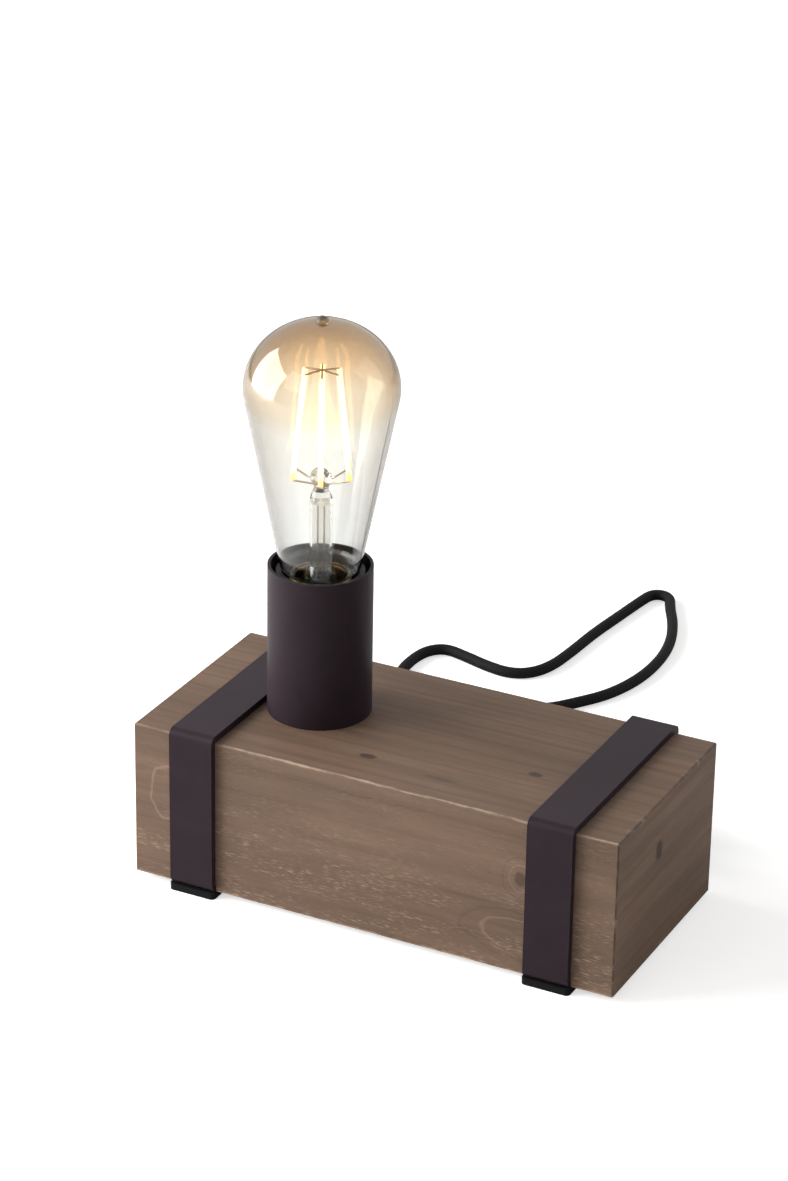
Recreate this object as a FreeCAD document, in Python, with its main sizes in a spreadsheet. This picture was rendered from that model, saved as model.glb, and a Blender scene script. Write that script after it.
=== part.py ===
"""Bare bulb table lamp: a mitred timber box under two steel straps, with an E27 lamp head.

Frame: millimetres, +Z up, origin on the table under the middle of the box, +X along the
box's length and -Y out of its front. The lamp head stands left of the middle. The mains
lead leaves the back, lies on the table in loose curves, and its spare length is wound
into a tied coil close behind the box.
"""
import FreeCAD, Part
import math
import os
import re

import Sketcher
from FreeCAD import Placement, Rotation, Vector

# ---------------------------------------------------------------- driving sizes, in mm
SIZES = {
    # timber box
    "block_length": 220.0,
    "block_depth": 100.0,
    "block_height": 69.5,
    "board_thickness": 14.0,
    "arris": 0.6,
    "panel_thickness": 6.0,
    "panel_recess": 3.0,
    "panel_gap": 0.5,
    "cleat_side": 10.0,
    "cleat_length": 60.0,
    # straps and feet
    "strap_width": 20.0,
    "strap_gauge": 3.0,
    "strap_spread": 163.0,
    "strap_flange": 22.0,
    "bend_outside": 3.5,
    "bend_inside": 0.5,
    "rebate_gap": 0.2,
    "foot_height": 3.0,
    "foot_length": 30.0,
    "foot_width": 21.5,
    "foot_corner": 2.0,
    # wood screws
    "screw_shank": 1.5,
    "screw_head": 3.0,
    "screw_taper": 1.5,
    "screw_length": 16.0,
    "panel_screw_length": 14.0,
    "panel_screw_spread": 40.0,
    "screw_gap": 0.05,
    # lamp head
    "head_left": 49.3,
    "cover_radius": 22.0,
    "cover_height": 66.0,
    "cover_wall": 1.3,
    "cover_floor": 1.5,
    "nipple_radius": 5.0,
    "nipple_bore": 3.5,
    "nipple_length": 31.5,
    "nipple_below": 9.0,
    "nipple_gap": 0.05,
    "washer_radius": 10.0,
    "washer_gauge": 1.5,
    "nut_across": 14.0,
    "nut_height": 4.0,
    "lock_nut_height": 3.0,
    # lampholder
    "holder_radius": 18.5,
    "sleeve_wall": 1.1,
    "sleeve_gap": 0.1,
    "sleeve_lap": 10.0,
    "sleeve_lip": 2.0,
    "sleeve_mouth": 16.2,
    "holder_rim_drop": 2.5,
    "base_wall": 2.0,
    "base_floor": 3.0,
    "base_height": 24.0,
    "insert_disc": 5.0,
    "insert_boss": 9.0,
    "insert_boss_radius": 13.5,
    "rivet_radius": 2.0,
    "rivet_gap": 0.05,
    "spring_radius": 4.0,
    "spring_height": 0.9,
    "shell_wall": 0.5,
    "shell_height": 24.0,
    "shell_floor_bore": 8.0,
    "terminal_side": 6.0,
    "terminal_height": 5.0,
    "terminal_spread": 16.0,
    "terminal_screw": 1.0,
    # screw thread of cap and socket
    "thread_pitch": 3.629,
    "thread_round": 0.85,
    "cap_core": 12.15,
    "cap_crest": 13.1,
    "thread_clearance": 0.5,
    "cap_thread_start": 8.5,
    "cap_thread_turns": 4.0,
    "shell_thread_turns": 4.5,
    # bulb
    "contact_gap": 0.1,
    "contact_radius": 4.8,
    "contact_height": 1.2,
    "cap_wall": 0.4,
    "cap_skirt": 5.3,
    "cap_height": 27.0,
    "insulator_height": 8.0,
    "insulator_gap": 0.05,
    "glass_radius": 32.1,
    "glass_wall": 0.8,
    "shoulder_height": 109.5,
    "dome_height": 28.5,
    "pip_radius": 2.6,
    "pip_height": 2.5,
    "shoulder_round": 25.0,
    "glass_seat": 0.05,
    "neck_radius": 17.0,
    "neck_height": 31.5,
    "skirt_radius": 11.6,
    "skirt_height": 18.0,
    "stem_radius": 4.7,
    "stem_wall": 0.9,
    "stem_height": 67.5,
    "filament_radius": 1.0,
    "filament_foot_radius": 13.3,
    "filament_foot_height": 72.0,
    "filament_tip_radius": 8.0,
    "filament_tip_height": 116.2,
    "support_wire": 0.4,
    "driver_width": 14.0,
    "driver_gauge": 1.2,
    "driver_height": 16.0,
    "lead_spread": 3.0,
    # terminal block and inner wiring
    "block_terminal_x": 15.0,
    "block_terminal_length": 18.0,
    "block_terminal_width": 20.0,
    "block_terminal_height": 14.0,
    "barrel_radius": 2.4,
    "barrel_bore": 1.6,
    "barrel_gap": 0.05,
    "barrel_spread": 9.0,
    "barrel_screw": 1.25,
    "barrel_screw_length": 5.0,
    "wire_radius": 0.9,
    "core_radius": 1.2,
    # lead, gland and strain relief
    "cord_radius": 2.6,
    "cord_fit": 0.2,
    "gland_left": 62.0,
    "gland_height": 20.0,
    "gland_radius": 5.0,
    "gland_gap": 0.1,
    "gland_flange": 7.5,
    "gland_flange_gauge": 2.0,
    "gland_tail": 7.0,
    "gland_nut_across": 15.0,
    "gland_nut_height": 4.0,
    "relief_root": 5.5,
    "relief_tip": 3.9,
    "relief_length": 26.0,
    # switch on the lead
    "switch_left": 28.0,
    "switch_middle": 120.0,
    "switch_length": 52.0,
    "switch_width": 23.0,
    "switch_height": 15.0,
    "switch_wall": 1.8,
    "switch_corner": 6.0,
    "switch_edge": 1.2,
    "rocker_length": 19.0,
    "rocker_width": 9.6,
    "rocker_depth": 5.0,
    "rocker_rise": 1.8,
    "rocker_gap": 0.6,
    "rocker_tilt": 8.0,
    "pivot_radius": 1.0,
    "pivot_gap": 0.05,
    "pivot_drop": 1.8,
    "ear_gauge": 2.0,
    "boss_radius": 3.0,
    "boss_spread_x": 14.0,
    "boss_spread_y": 30.0,
    "case_screw": 1.1,
    "case_screw_head": 2.0,
    "case_screw_length": 9.0,
    "switch_contact_side": 4.0,
    "switch_contact_height": 2.4,
    "switch_contact_spread": 12.0,
    # spare length of the lead
    "coil_x": 28.0,
    "coil_y": 100.0,
    "coil_radius": 36.5,
    "coil_pitch": 5.9,
    "coil_layer_rise": 5.7,
    "coil_turns": 3.3125,
    "tie_gauge": 0.6,
    "tie_width": 6.0,
    "tie_gap": 0.3,
    "tie_angle": 80.0,
    # plug
    "plug_x": 18.0,
    "plug_y": 81.0,
    "plug_relief": 15.0,
    "plug_relief_tip": 3.9,
    "plug_relief_root": 5.5,
    "plug_length": 37.0,
    "plug_width": 35.0,
    "plug_waist": 22.0,
    "plug_thickness": 14.0,
    "plug_edge": 2.5,
    "plug_rest_gap": 0.3,
    "pin_radius": 2.0,
    "pin_length": 19.0,
    "pin_spread": 19.0,
    "pin_root": 8.0,
    "pin_sleeve_length": 9.0,
    "pin_sleeve_wall": 0.45,
    "pin_sleeve_start": 0.5,
}

doc = FreeCAD.newDocument("BareBulbLamp")
sheet = doc.addObject("Spreadsheet::Sheet", "Sizes")
for row, (alias, number) in enumerate(SIZES.items(), start=1):
    sheet.set(f"A{row}", alias)
    sheet.set(f"B{row}", str(number))
    sheet.setAlias(f"B{row}", alias)
doc.recompute()

# Heights that several pieces share, as formulas in the sheet's own words.
WOOD_TOP = "(foot_height + block_height)"
CEILING = f"({WOOD_TOP} - board_thickness)"
HOLDER_FLOOR = f"({WOOD_TOP} + cover_floor + lock_nut_height)"
INSERT_SEAT = f"({HOLDER_FLOOR} + base_height)"
INSERT_TOP = f"({INSERT_SEAT} + insert_disc)"
BULB_SEAT = f"({INSERT_TOP} + spring_height + contact_gap)"
CORD_HEIGHT = "(switch_height / 2)"
BACK = "(block_depth / 2)"
COIL_BASE = "(tie_gauge + tie_gap + cord_radius)"
COIL_TOP = f"({COIL_BASE} + coil_layer_rise + cord_radius)"
PLUG_HEIGHT = f"({COIL_TOP} + plug_rest_gap + plug_thickness / 2)"
SHELL_BORE = "(cap_crest + thread_clearance - 0.1)"

nodes = []


# ---------------------------------------------------------------- helpers
def formula(words):
    """Words of the sheet as an expression that other objects can use."""
    return re.sub(r"[a-z][a-z0-9_]*", r"Sizes.\g<0>", words)


def size(words):
    """The value in mm of a formula written in the sheet's words."""
    return float(sheet.evalExpression(formula(words)))


def bind(thing, prop, words):
    """Tie one property to a formula, so that it follows the sheet."""
    thing.setExpression(prop, formula(words))


def place(thing, x="0", y="0", z="0", turn=None):
    """Stand a piece at a spot given by formulas, after an optional turn."""
    thing.Placement = Placement(Vector(size(x), size(y), size(z)), turn or Rotation())
    for axis, words in zip("xyz", (x, y, z)):
        bind(thing, f"Placement.Base.{axis}", words)
    return thing


def node(thing, label):
    """Keep a finished sub-part under the name of its file."""
    thing.Label = label
    nodes.append(thing)
    return thing


def new_body(name):
    return doc.addObject("PartDesign::Body", name)


def sketch_on(body, role, name, lift="0"):
    """An empty sketch on one of the body's own planes, raised along its normal."""
    sketch = body.newObject("Sketcher::SketchObject", name)
    plane = next(item for item in body.Origin.OriginFeatures if item.Role == role)
    sketch.AttachmentSupport = [(plane, "")]
    sketch.MapMode = "FlatFace"
    if lift != "0":
        bind(sketch, "AttachmentOffset.Base.z", lift)
    return sketch


def pin_point(sketch, line, end, x, y):
    """Hold one end of a line at a place given by two formulas."""
    for kind, words in (("DistanceX", x), ("DistanceY", y)):
        index = sketch.addConstraint(Sketcher.Constraint(kind, -1, 1, line, end, size(words)))
        if size(words) != 0.0 or words != "0":
            label = f"{kind[-1].lower()}{line}_{end}"
            sketch.renameConstraint(index, label)
            bind(sketch, f"Constraints.{label}", words)


def add_outline(sketch, corners):
    """A closed run of straight lines through corners given by formulas."""
    first = sketch.GeometryCount
    spots = [Vector(size(x), size(y), 0) for x, y in corners]
    for start, end in zip(spots, spots[1:] + spots[:1]):
        sketch.addGeometry(Part.LineSegment(start, end))
    for index, (x, y) in enumerate(corners):
        following = first + (index + 1) % len(corners)
        sketch.addConstraint(Sketcher.Constraint("Coincident", first + index, 2, following, 1))
        pin_point(sketch, first + index, 1, x, y)


def add_rectangle(sketch, x, y, width, depth):
    """A rectangle by its middle and its two sides."""
    low_x, high_x = f"({x}) - ({width}) / 2", f"({x}) + ({width}) / 2"
    low_y, high_y = f"({y}) - ({depth}) / 2", f"({y}) + ({depth}) / 2"
    add_outline(sketch, [(low_x, low_y), (high_x, low_y), (high_x, high_y), (low_x, high_y)])


def add_circle(sketch, x, y, radius):
    """A circle by its centre and radius."""
    index = sketch.GeometryCount
    centre = Vector(size(x), size(y), 0)
    sketch.addGeometry(Part.Circle(centre, Vector(0, 0, 1), size(radius)))
    pin_point(sketch, index, 3, x, y)
    count = sketch.addConstraint(Sketcher.Constraint("Radius", index, size(radius)))
    sketch.renameConstraint(count, f"r{index}")
    bind(sketch, f"Constraints.r{index}", radius)


def extrude(body, kind, name, sketch, length, both=False, flip=False):
    """A Pad or Pocket of a sketch, to one side or half to each side."""
    feature = body.newObject(f"PartDesign::{kind}", name)
    feature.Profile = sketch
    bind(feature, "Length", length)
    feature.SideType = "Symmetric" if both else "One side"
    feature.Reversed = flip
    return feature


def cut(body, name, sketch, length, both=False, flip=False):
    """A Pocket that has to take something away."""
    doc.recompute()
    before = body.Shape.Volume
    extrude(body, "Pocket", name, sketch, length, both, flip)
    doc.recompute()
    if body.Shape.Volume > before - 0.01:
        raise RuntimeError(f"{body.Name}: {name} cuts nothing")


def edges_where(shape, test):
    """Names of the edges whose middle and direction pass a test."""
    found = []
    for index, edge in enumerate(shape.Edges, start=1):
        if len(edge.Vertexes) < 2:
            continue
        start, end = edge.Vertexes[0].Point, edge.Vertexes[-1].Point
        if test((start + end) / 2, end - start):
            found.append(f"Edge{index}")
    return found


def along(direction, axis):
    """True where an edge runs along one axis: 0 for X, 1 for Y, 2 for Z."""
    return abs(abs(direction[axis]) - direction.Length) < 1e-6


def fillet(body, name, test, radius):
    """Round the edges that pass a test."""
    doc.recompute()
    base = body.Tip
    feature = body.newObject("PartDesign::Fillet", name)
    feature.Base = (base, edges_where(body.Shape, test))
    bind(feature, "Radius", radius)
    return feature


def turned(name, corners, role="XZ_Plane"):
    """A piece turned about its own Z axis from half of its section."""
    body = new_body(name)
    sketch = sketch_on(body, role, f"{name}_section")
    add_outline(sketch, corners)
    feature = body.newObject("PartDesign::Revolution", f"{name}_turn")
    feature.Profile = sketch
    feature.ReferenceAxis = (sketch, ["V_Axis"])
    feature.Angle = 360
    return body


def group(name, pattern, spots, turn=None):
    """Copies of one piece, as separate solids in one sub-part."""
    copies = []
    for index, spot in enumerate(spots):
        copy = doc.addObject("App::Link", f"{name}_{index + 1}")
        copy.LinkedObject = pattern
        place(copy, *spot, turn=turn[index] if turn else None)
        copies.append(copy)
    together = doc.addObject("Part::Compound", name)
    together.Links = copies
    return together


def whole(name, shape):
    """A shape made with the geometry functions, as one object."""
    thing = doc.addObject("Part::Feature", name)
    thing.Shape = shape
    return thing


def biarc(start, leave, end, arrive):
    """Two arcs that join two points in two given directions."""
    chord = end - start
    both = leave + arrive
    turn = 2.0 * (1.0 - leave.dot(arrive))
    along_both = chord.dot(both)
    reach = (-along_both + math.sqrt(along_both ** 2 + turn * chord.dot(chord))) / turn
    joint = (start + end + (leave - arrive) * reach) / 2
    arcs = []
    for a, corner, b in ((start, start + leave * reach, joint), (joint, end - arrive * reach, end)):
        middle_chord = (a + b) / 2
        half = (b - a).Length / 2
        rise = (corner - middle_chord).Length
        slant = (corner - a).Length
        sagitta = half * (slant - half) / rise
        arcs.append(Part.Arc(a, middle_chord + (corner - middle_chord).normalize() * sagitta, b))
    return arcs


def swept(wire, radius):
    """A round solid along a wire."""
    first = wire.Edges[0]
    begin = first.valueAt(first.FirstParameter)
    direction = first.tangentAt(first.FirstParameter)
    section = Part.Wire([Part.makeCircle(radius, begin, direction)])
    return wire.makePipeShell([section], True, False)


# ---------------------------------------------------------------- timber box
def mitred_board(name, length, width, mitred_edges):
    """A board lying face up, with its ends and one or both long edges mitred."""
    body = new_body(name)
    section = sketch_on(body, "YZ_Plane", f"{name}_section")
    half, deep = f"({width}) / 2", "-board_thickness"
    far = [(f"{half} - arris", "0"), (f"{half} - arris / 2", "-arris / 2"),
           (f"{half} - board_thickness", deep)]
    near = [(f"-{half}", deep), (f"-{half}", "0")]
    if mitred_edges == 2:
        near = [(f"-({half} - board_thickness)", deep), (f"-({half} - arris / 2)", "-arris / 2"),
                (f"-({half} - arris)", "0")]
    add_outline(section, far + near)
    extrude(body, "Pad", f"{name}_plank", section, length, both=True)
    ends = sketch_on(body, "XZ_Plane", f"{name}_ends")
    tip = f"({length}) / 2"
    for side in ("", "-"):
        add_outline(ends, [
            (f"{side}({tip} - arris)", "0"),
            (f"{side}({tip} - arris / 2)", "-arris / 2"),
            (f"{side}({tip} - board_thickness)", deep),
            (f"{side}({tip} + arris)", deep),
            (f"{side}({tip} + arris)", "0"),
        ])
    cut(body, f"{name}_mitres", ends, f"2 * ({width})", both=True)
    return body


def board_hole(body, name, x, y, radius):
    """A hole straight through a board."""
    sketch = sketch_on(body, "XY_Plane", f"{name}_circle")
    add_circle(sketch, x, y, radius)
    cut(body, name, sketch, "3 * board_thickness", both=True)


def side_board(name, length, rebated):
    """An upright board, with rebates and pilot holes for the strap flanges where it has them."""
    body = mitred_board(name, length, "block_height", 1)
    if not rebated:
        return body
    slots = sketch_on(body, "XY_Plane", f"{name}_rebates")
    pilots = sketch_on(body, "XZ_Plane", f"{name}_pilots")
    for side in ("", "-"):
        add_rectangle(slots, f"{side}strap_spread / 2", "-block_height / 2",
                      "strap_width + 2 * rebate_gap", "2 * strap_gauge")
        add_circle(pilots, f"{side}strap_spread / 2", "-board_thickness / 2",
                   "screw_shank + screw_gap")
    cut(body, f"{name}_rebate", slots, "3 * board_thickness", both=True)
    bind(pilots, "AttachmentOffset.Base.z", "block_height / 2")
    cut(body, f"{name}_pilot", pilots, "screw_length + screw_gap", flip=False)
    return body


def timber_box():
    """Five mitred boards, a bottom panel and the two cleats that it is screwed to."""
    top = mitred_board("board_top", "block_length", "block_depth", 2)
    board_hole(top, "nipple_hole", "-head_left", "0", "nipple_radius + nipple_gap")
    node(place(top, z=WOOD_TOP), "board_top")
    middle = "foot_height + block_height / 2"
    front = side_board("board_front", "block_length", True)
    node(place(front, y=f"-{BACK}", z=middle, turn=Rotation(0, 0, 90)), "board_front")
    back = side_board("board_back", "block_length", True)
    board_hole(back, "gland_hole", "gland_left", "gland_height - foot_height - block_height / 2",
               "gland_radius + gland_gap")
    node(place(back, y=BACK, z=middle, turn=Rotation(180, 0, 90)), "board_back")
    right = side_board("board_right_end", "block_depth", False)
    node(place(right, x="block_length / 2", z=middle, turn=Rotation(90, 0, 90)),
         "board_right_end")
    left = side_board("board_left_end", "block_depth", False)
    node(place(left, x="-block_length / 2", z=middle, turn=Rotation(-90, 0, 90)),
         "board_left_end")


def bottom_panel():
    """The recessed panel, its cleats on the end boards and its four screws."""
    inside_x = "(block_length - 2 * board_thickness)"
    inside_y = "(block_depth - 2 * board_thickness)"
    screw_x = f"({inside_x} / 2 - cleat_side / 2)"
    screw_y = "panel_screw_spread / 2"
    corners = [(f"{a}{screw_x}", f"{b}{screw_y}") for a in ("", "-") for b in ("", "-")]
    panel = new_body("bottom_panel")
    sheet_outline = sketch_on(panel, "XY_Plane", "panel_outline")
    add_rectangle(sheet_outline, "0", "0", f"{inside_x} - 2 * panel_gap",
                  f"{inside_y} - 2 * panel_gap")
    extrude(panel, "Pad", "panel_sheet", sheet_outline, "panel_thickness")
    holes = sketch_on(panel, "XY_Plane", "panel_holes")
    for x, y in corners:
        add_circle(holes, x, y, "screw_head + screw_gap")
    cut(panel, "panel_screw_holes", holes, "3 * panel_thickness", both=True)
    panel_z = "foot_height + panel_recess"
    node(place(panel, z=panel_z), "bottom_panel")

    cleat = new_body("cleat")
    face = sketch_on(cleat, "XY_Plane", "cleat_outline")
    add_rectangle(face, "0", "0", "cleat_side", "cleat_length")
    extrude(cleat, "Pad", "cleat_bar", face, "cleat_side")
    pilots = sketch_on(cleat, "XY_Plane", "cleat_pilots")
    for side in ("", "-"):
        add_circle(pilots, "0", f"{side}{screw_y}", "screw_shank + screw_gap")
    cut(cleat, "cleat_pilot", pilots, "3 * cleat_side", both=True)
    cleat_z = f"{panel_z} + panel_thickness"
    cleats = group("cleats", cleat, [(screw_x, "0", cleat_z), (f"-{screw_x}", "0", cleat_z)])
    node(cleats, "panel_cleats")

    screw = turned("panel_screw", [
        ("0", "0"), ("screw_head", "0"), ("screw_head", "panel_thickness"),
        ("screw_shank", "panel_thickness"), ("screw_shank", "panel_screw_length - screw_taper"),
        ("0", "panel_screw_length"),
    ])
    spots = [(x, y, panel_z) for x, y in corners]
    node(group("panel_screws", screw, spots), "panel_screws")


# ---------------------------------------------------------------- straps and feet
def strap(label, x):
    """Flat steel bent over the box, with its ends turned in under the box."""
    body = new_body(label)
    reach = f"({BACK} + strap_gauge)"
    rise = "(block_height + strap_gauge)"
    inner = f"({reach} - strap_flange)"
    half = [(inner, "0"), (reach, "0"), (reach, rise)]
    inside = [(f"-{BACK}", "block_height"), (f"-{BACK}", "strap_gauge"),
              (f"-{inner}", "strap_gauge")]
    mirrored = [(f"-{y}", z) for y, z in reversed(half)]
    far = [(inner, "strap_gauge"), (BACK, "strap_gauge"), (BACK, "block_height")]
    sketch = sketch_on(body, "YZ_Plane", f"{label}_section")
    add_outline(sketch, half + mirrored + list(reversed(inside)) + list(reversed(far)))
    extrude(body, "Pad", f"{label}_bar", sketch, "strap_width", both=True)
    deep = size(reach)

    def outer_bend(middle, direction):
        return along(direction, 0) and abs(abs(middle.y) - deep) < 1e-3

    def inner_bend(middle, direction):
        corner = abs(abs(middle.y) - size(BACK)) < 1e-3
        level = abs(middle.z - size("block_height")) < 1e-3
        return along(direction, 0) and corner and level

    fillet(body, f"{label}_outer_bends", outer_bend, "bend_outside")
    fillet(body, f"{label}_inner_bends", inner_bend, "bend_inside")
    doc.recompute()
    holes = sketch_on(body, "XY_Plane", f"{label}_screw_circles")
    for side in ("", "-"):
        add_circle(holes, "0", f"{side}({BACK} - board_thickness / 2)", "screw_shank + screw_gap")
    doc.recompute()
    drilled = body.newObject("PartDesign::Hole", f"{label}_screw_holes")
    drilled.Profile = holes
    drilled.DepthType = "Dimension"
    drilled.DrillPoint = "Flat"
    drilled.Reversed = True
    bind(drilled, "Diameter", "2 * (screw_shank + screw_gap)")
    bind(drilled, "Depth", "strap_gauge + bend_inside")
    drilled.HoleCutType = "Countersink"
    drilled.HoleCutCustomValues = True
    bind(drilled, "HoleCutDiameter", "2 * (screw_head + screw_gap)")
    drilled.HoleCutCountersinkAngle = 90
    return node(place(body, x=x, z="foot_height"), label)


def straps_and_feet():
    """Two straps, the screws in their flanges and the rubber pads below them."""
    strap("strap_left", "-strap_spread / 2")
    strap("strap_right", "strap_spread / 2")
    sides = ("", "-")
    screw = turned("strap_screw", [
        ("0", "0"), ("screw_head", "0"), ("screw_shank", "screw_head - screw_shank"),
        ("screw_shank", "screw_length - screw_taper"), ("0", "screw_length"),
    ])
    spots = [(f"{a}strap_spread / 2", f"{b}({BACK} - board_thickness / 2)", "foot_height")
             for a in sides for b in sides]
    node(group("strap_screws", screw, spots), "strap_screws")

    foot = new_body("foot")
    face = sketch_on(foot, "XY_Plane", "foot_outline")
    add_rectangle(face, "0", "0", "foot_width", "foot_length")
    extrude(foot, "Pad", "foot_pad", face, "foot_height")
    fillet(foot, "foot_corners", lambda middle, direction: along(direction, 2), "foot_corner")
    centre = f"({BACK} + strap_gauge - foot_length / 2)"
    spots = [(f"{a}strap_spread / 2", f"{b}{centre}", "0") for a in sides for b in sides]
    node(group("foot_pads", foot, spots), "foot_pads")


# ---------------------------------------------------------------- lamp head
def hexagon_nut(label, across, height, bore, x, y, z, turn=None):
    """A hexagon nut by its size across flats."""
    body = new_body(label)
    sketch = sketch_on(body, "XY_Plane", f"{label}_outline")
    half = f"({across}) / 2"
    point = f"({across}) * 0.57735"
    add_outline(sketch, [(point, "0"), (f"{point} / 2", half), (f"-{point} / 2", half),
                         (f"-{point}", "0"), (f"-{point} / 2", f"-{half}"),
                         (f"{point} / 2", f"-{half}")])
    add_circle(sketch, "0", "0", bore)
    extrude(body, "Pad", f"{label}_blank", sketch, height)
    return node(place(body, x, y, z, turn), label)


def lamp_head():
    """The cover on its threaded nipple, with its washer and nuts."""
    cover = turned("socket_cover", [
        ("nipple_radius + nipple_gap", "0"), ("cover_radius", "0"),
        ("cover_radius", "cover_height"), ("cover_radius - cover_wall", "cover_height"),
        ("cover_radius - cover_wall", "cover_floor"), ("nipple_radius + nipple_gap", "cover_floor"),
    ])
    node(place(cover, x="-head_left", z=WOOD_TOP), "socket_cover")
    nipple = turned("nipple", [
        ("nipple_bore", "0"), ("nipple_radius", "0"), ("nipple_radius", "nipple_length"),
        ("nipple_bore", "nipple_length"),
    ])
    node(place(nipple, x="-head_left", z=f"{CEILING} - nipple_below"), "mounting_nipple")
    washer = turned("washer", [
        ("nipple_radius + nipple_gap", "0"), ("washer_radius", "0"),
        ("washer_radius", "washer_gauge"), ("nipple_radius + nipple_gap", "washer_gauge"),
    ])
    node(place(washer, x="-head_left", z=f"{CEILING} - washer_gauge"), "nipple_washer")
    bore = "nipple_radius + nipple_gap"
    hexagon_nut("nipple_nut", "nut_across", "nut_height", bore, "-head_left", "0",
                f"{CEILING} - washer_gauge - nut_height")
    hexagon_nut("cover_lock_nut", "nut_across", "lock_nut_height", bore, "-head_left", "0",
                f"{WOOD_TOP} + cover_floor")


def helix_rib(radius, start, turns):
    """A round rib on a right-hand helix about Z, in arcs of an eighth of a turn."""
    pitch = size("thread_pitch")
    steps = round(turns * 4)
    stations = []
    for index in range(steps + 1):
        angle = 2 * math.pi * turns * index / steps
        spot = Vector(radius * math.cos(angle), radius * math.sin(angle),
                      start + pitch * angle / (2 * math.pi))
        heading = Vector(-radius * math.sin(angle), radius * math.cos(angle),
                         pitch / (2 * math.pi)).normalize()
        stations.append((spot, heading))
    edges = []
    for here, there in zip(stations, stations[1:]):
        edges.extend(arc.toShape() for arc in biarc(*here, *there))
    return swept(Part.Wire(edges), size("thread_round"))


def threaded_tube(corners, rib):
    """A thin turned tube joined to its rolled thread, its seam away from the thread's end."""
    spots = [Vector(size(radius), 0, size(height)) for radius, height in corners]
    face = Part.Face(Part.makePolygon(spots + spots[:1]))
    tube_shape = face.revolve(Vector(0, 0, 0), Vector(0, 0, 1), 360)
    tube_shape.rotate(Vector(0, 0, 0), Vector(0, 0, 1), 160)
    return tube_shape.fuse(rib).Solids[0]


def lampholder():
    """The holder inside the cover: base, insert, contacts, threaded shell and sleeve."""
    base_outer = "(holder_radius - sleeve_wall - sleeve_gap)"
    bore = "nipple_radius + nipple_gap"
    base = turned("holder_base", [
        (bore, "0"), (base_outer, "0"), (base_outer, "base_height"),
        (f"{base_outer} - base_wall", "base_height"), (f"{base_outer} - base_wall", "base_floor"),
        (bore, "base_floor"),
    ])
    node(place(base, x="-head_left", z=HOLDER_FLOOR), "holder_base")

    insert = turned("holder_insert", [
        ("rivet_radius + rivet_gap", "-insert_boss"), ("insert_boss_radius", "-insert_boss"),
        ("insert_boss_radius", "0"), (base_outer, "0"), (base_outer, "insert_disc"),
        ("rivet_radius + rivet_gap", "insert_disc"),
    ])
    node(place(insert, x="-head_left", z=INSERT_SEAT), "holder_insert")

    rim = f"({WOOD_TOP} + cover_height - holder_rim_drop)"
    foot = f"({INSERT_SEAT} - sleeve_lap)"
    tall = f"({rim} - {foot})"
    wall = "(holder_radius - sleeve_wall)"
    sleeve = turned("holder_sleeve", [
        (wall, "0"), ("holder_radius", "0"), ("holder_radius", tall), ("sleeve_mouth", tall),
        ("sleeve_mouth", f"{tall} - sleeve_lip"), (wall, f"{tall} - sleeve_lip"),
    ])
    node(place(sleeve, x="-head_left", z=foot), "holder_sleeve")

    spring = turned("centre_contact", [
        ("0", "-insert_disc - insert_boss"), ("rivet_radius", "-insert_disc - insert_boss"),
        ("rivet_radius", "0"), ("spring_radius", "0"), ("spring_radius", "spring_height"),
        ("0", "spring_height"),
    ])
    node(place(spring, x="-head_left", z=INSERT_TOP), "holder_centre_contact")

    outer = f"({SHELL_BORE} + shell_wall)"
    rib_height = size(f"{BULB_SEAT} - {INSERT_TOP} + cap_thread_start - thread_pitch / 2")
    rib = helix_rib(size(SHELL_BORE), rib_height, size("shell_thread_turns"))
    shape = threaded_tube([
        ("shell_floor_bore", "0"), (outer, "0"), (outer, "shell_height"),
        (SHELL_BORE, "shell_height"), (SHELL_BORE, "shell_wall"), ("shell_floor_bore", "shell_wall"),
    ], rib)
    node(place(whole("screw_shell", shape), x="-head_left", z=INSERT_TOP), "holder_screw_shell")

    block = new_body("terminal_cube")
    face = sketch_on(block, "XY_Plane", "terminal_outline")
    add_rectangle(face, "0", "0", "terminal_side", "terminal_side")
    add_circle(face, "0", "0", "core_radius + screw_gap")
    extrude(block, "Pad", "terminal_prism", face, "terminal_height", flip=True)
    side = sketch_on(block, "XZ_Plane", "terminal_tapping")
    add_circle(side, "0", "-terminal_height / 2", "terminal_screw + screw_gap")
    cut(block, "terminal_tapped_hole", side, "terminal_side")
    under = f"{INSERT_SEAT} - insert_boss"
    xs = ["-head_left - terminal_spread / 2", "-head_left + terminal_spread / 2"]
    cubes = group("holder_terminal_pair", block, [(x, "0", under) for x in xs])
    node(cubes, "holder_terminals")
    screw = turned("terminal_set_screw", [
        ("0", "0"), ("terminal_screw", "0"), ("terminal_screw", "terminal_side / 2 + 1"),
        ("0", "terminal_side / 2 + 1"),
    ])
    spots = [(x, "core_radius + screw_gap", f"{under} - terminal_height / 2") for x in xs]
    turn = Rotation(0, 0, -90)
    node(group("holder_terminal_screw_pair", screw, spots, [turn, turn]),
         "holder_terminal_screws")


# ---------------------------------------------------------------- bulb
def dome_arc(wide, high):
    """The quarter ellipse from the widest ring of the glass up to the crown."""
    centre = Vector(0, 0, size("shoulder_height"))
    if wide >= high:
        ellipse = Part.Ellipse(centre + Vector(wide, 0, 0), centre + Vector(0, 0, high), centre)
        return Part.ArcOfEllipse(ellipse, 0, math.pi / 2)
    ellipse = Part.Ellipse(centre + Vector(0, 0, high), centre + Vector(-wide, 0, 0), centre)
    return Part.ArcOfEllipse(ellipse, -math.pi / 2, 0)


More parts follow.
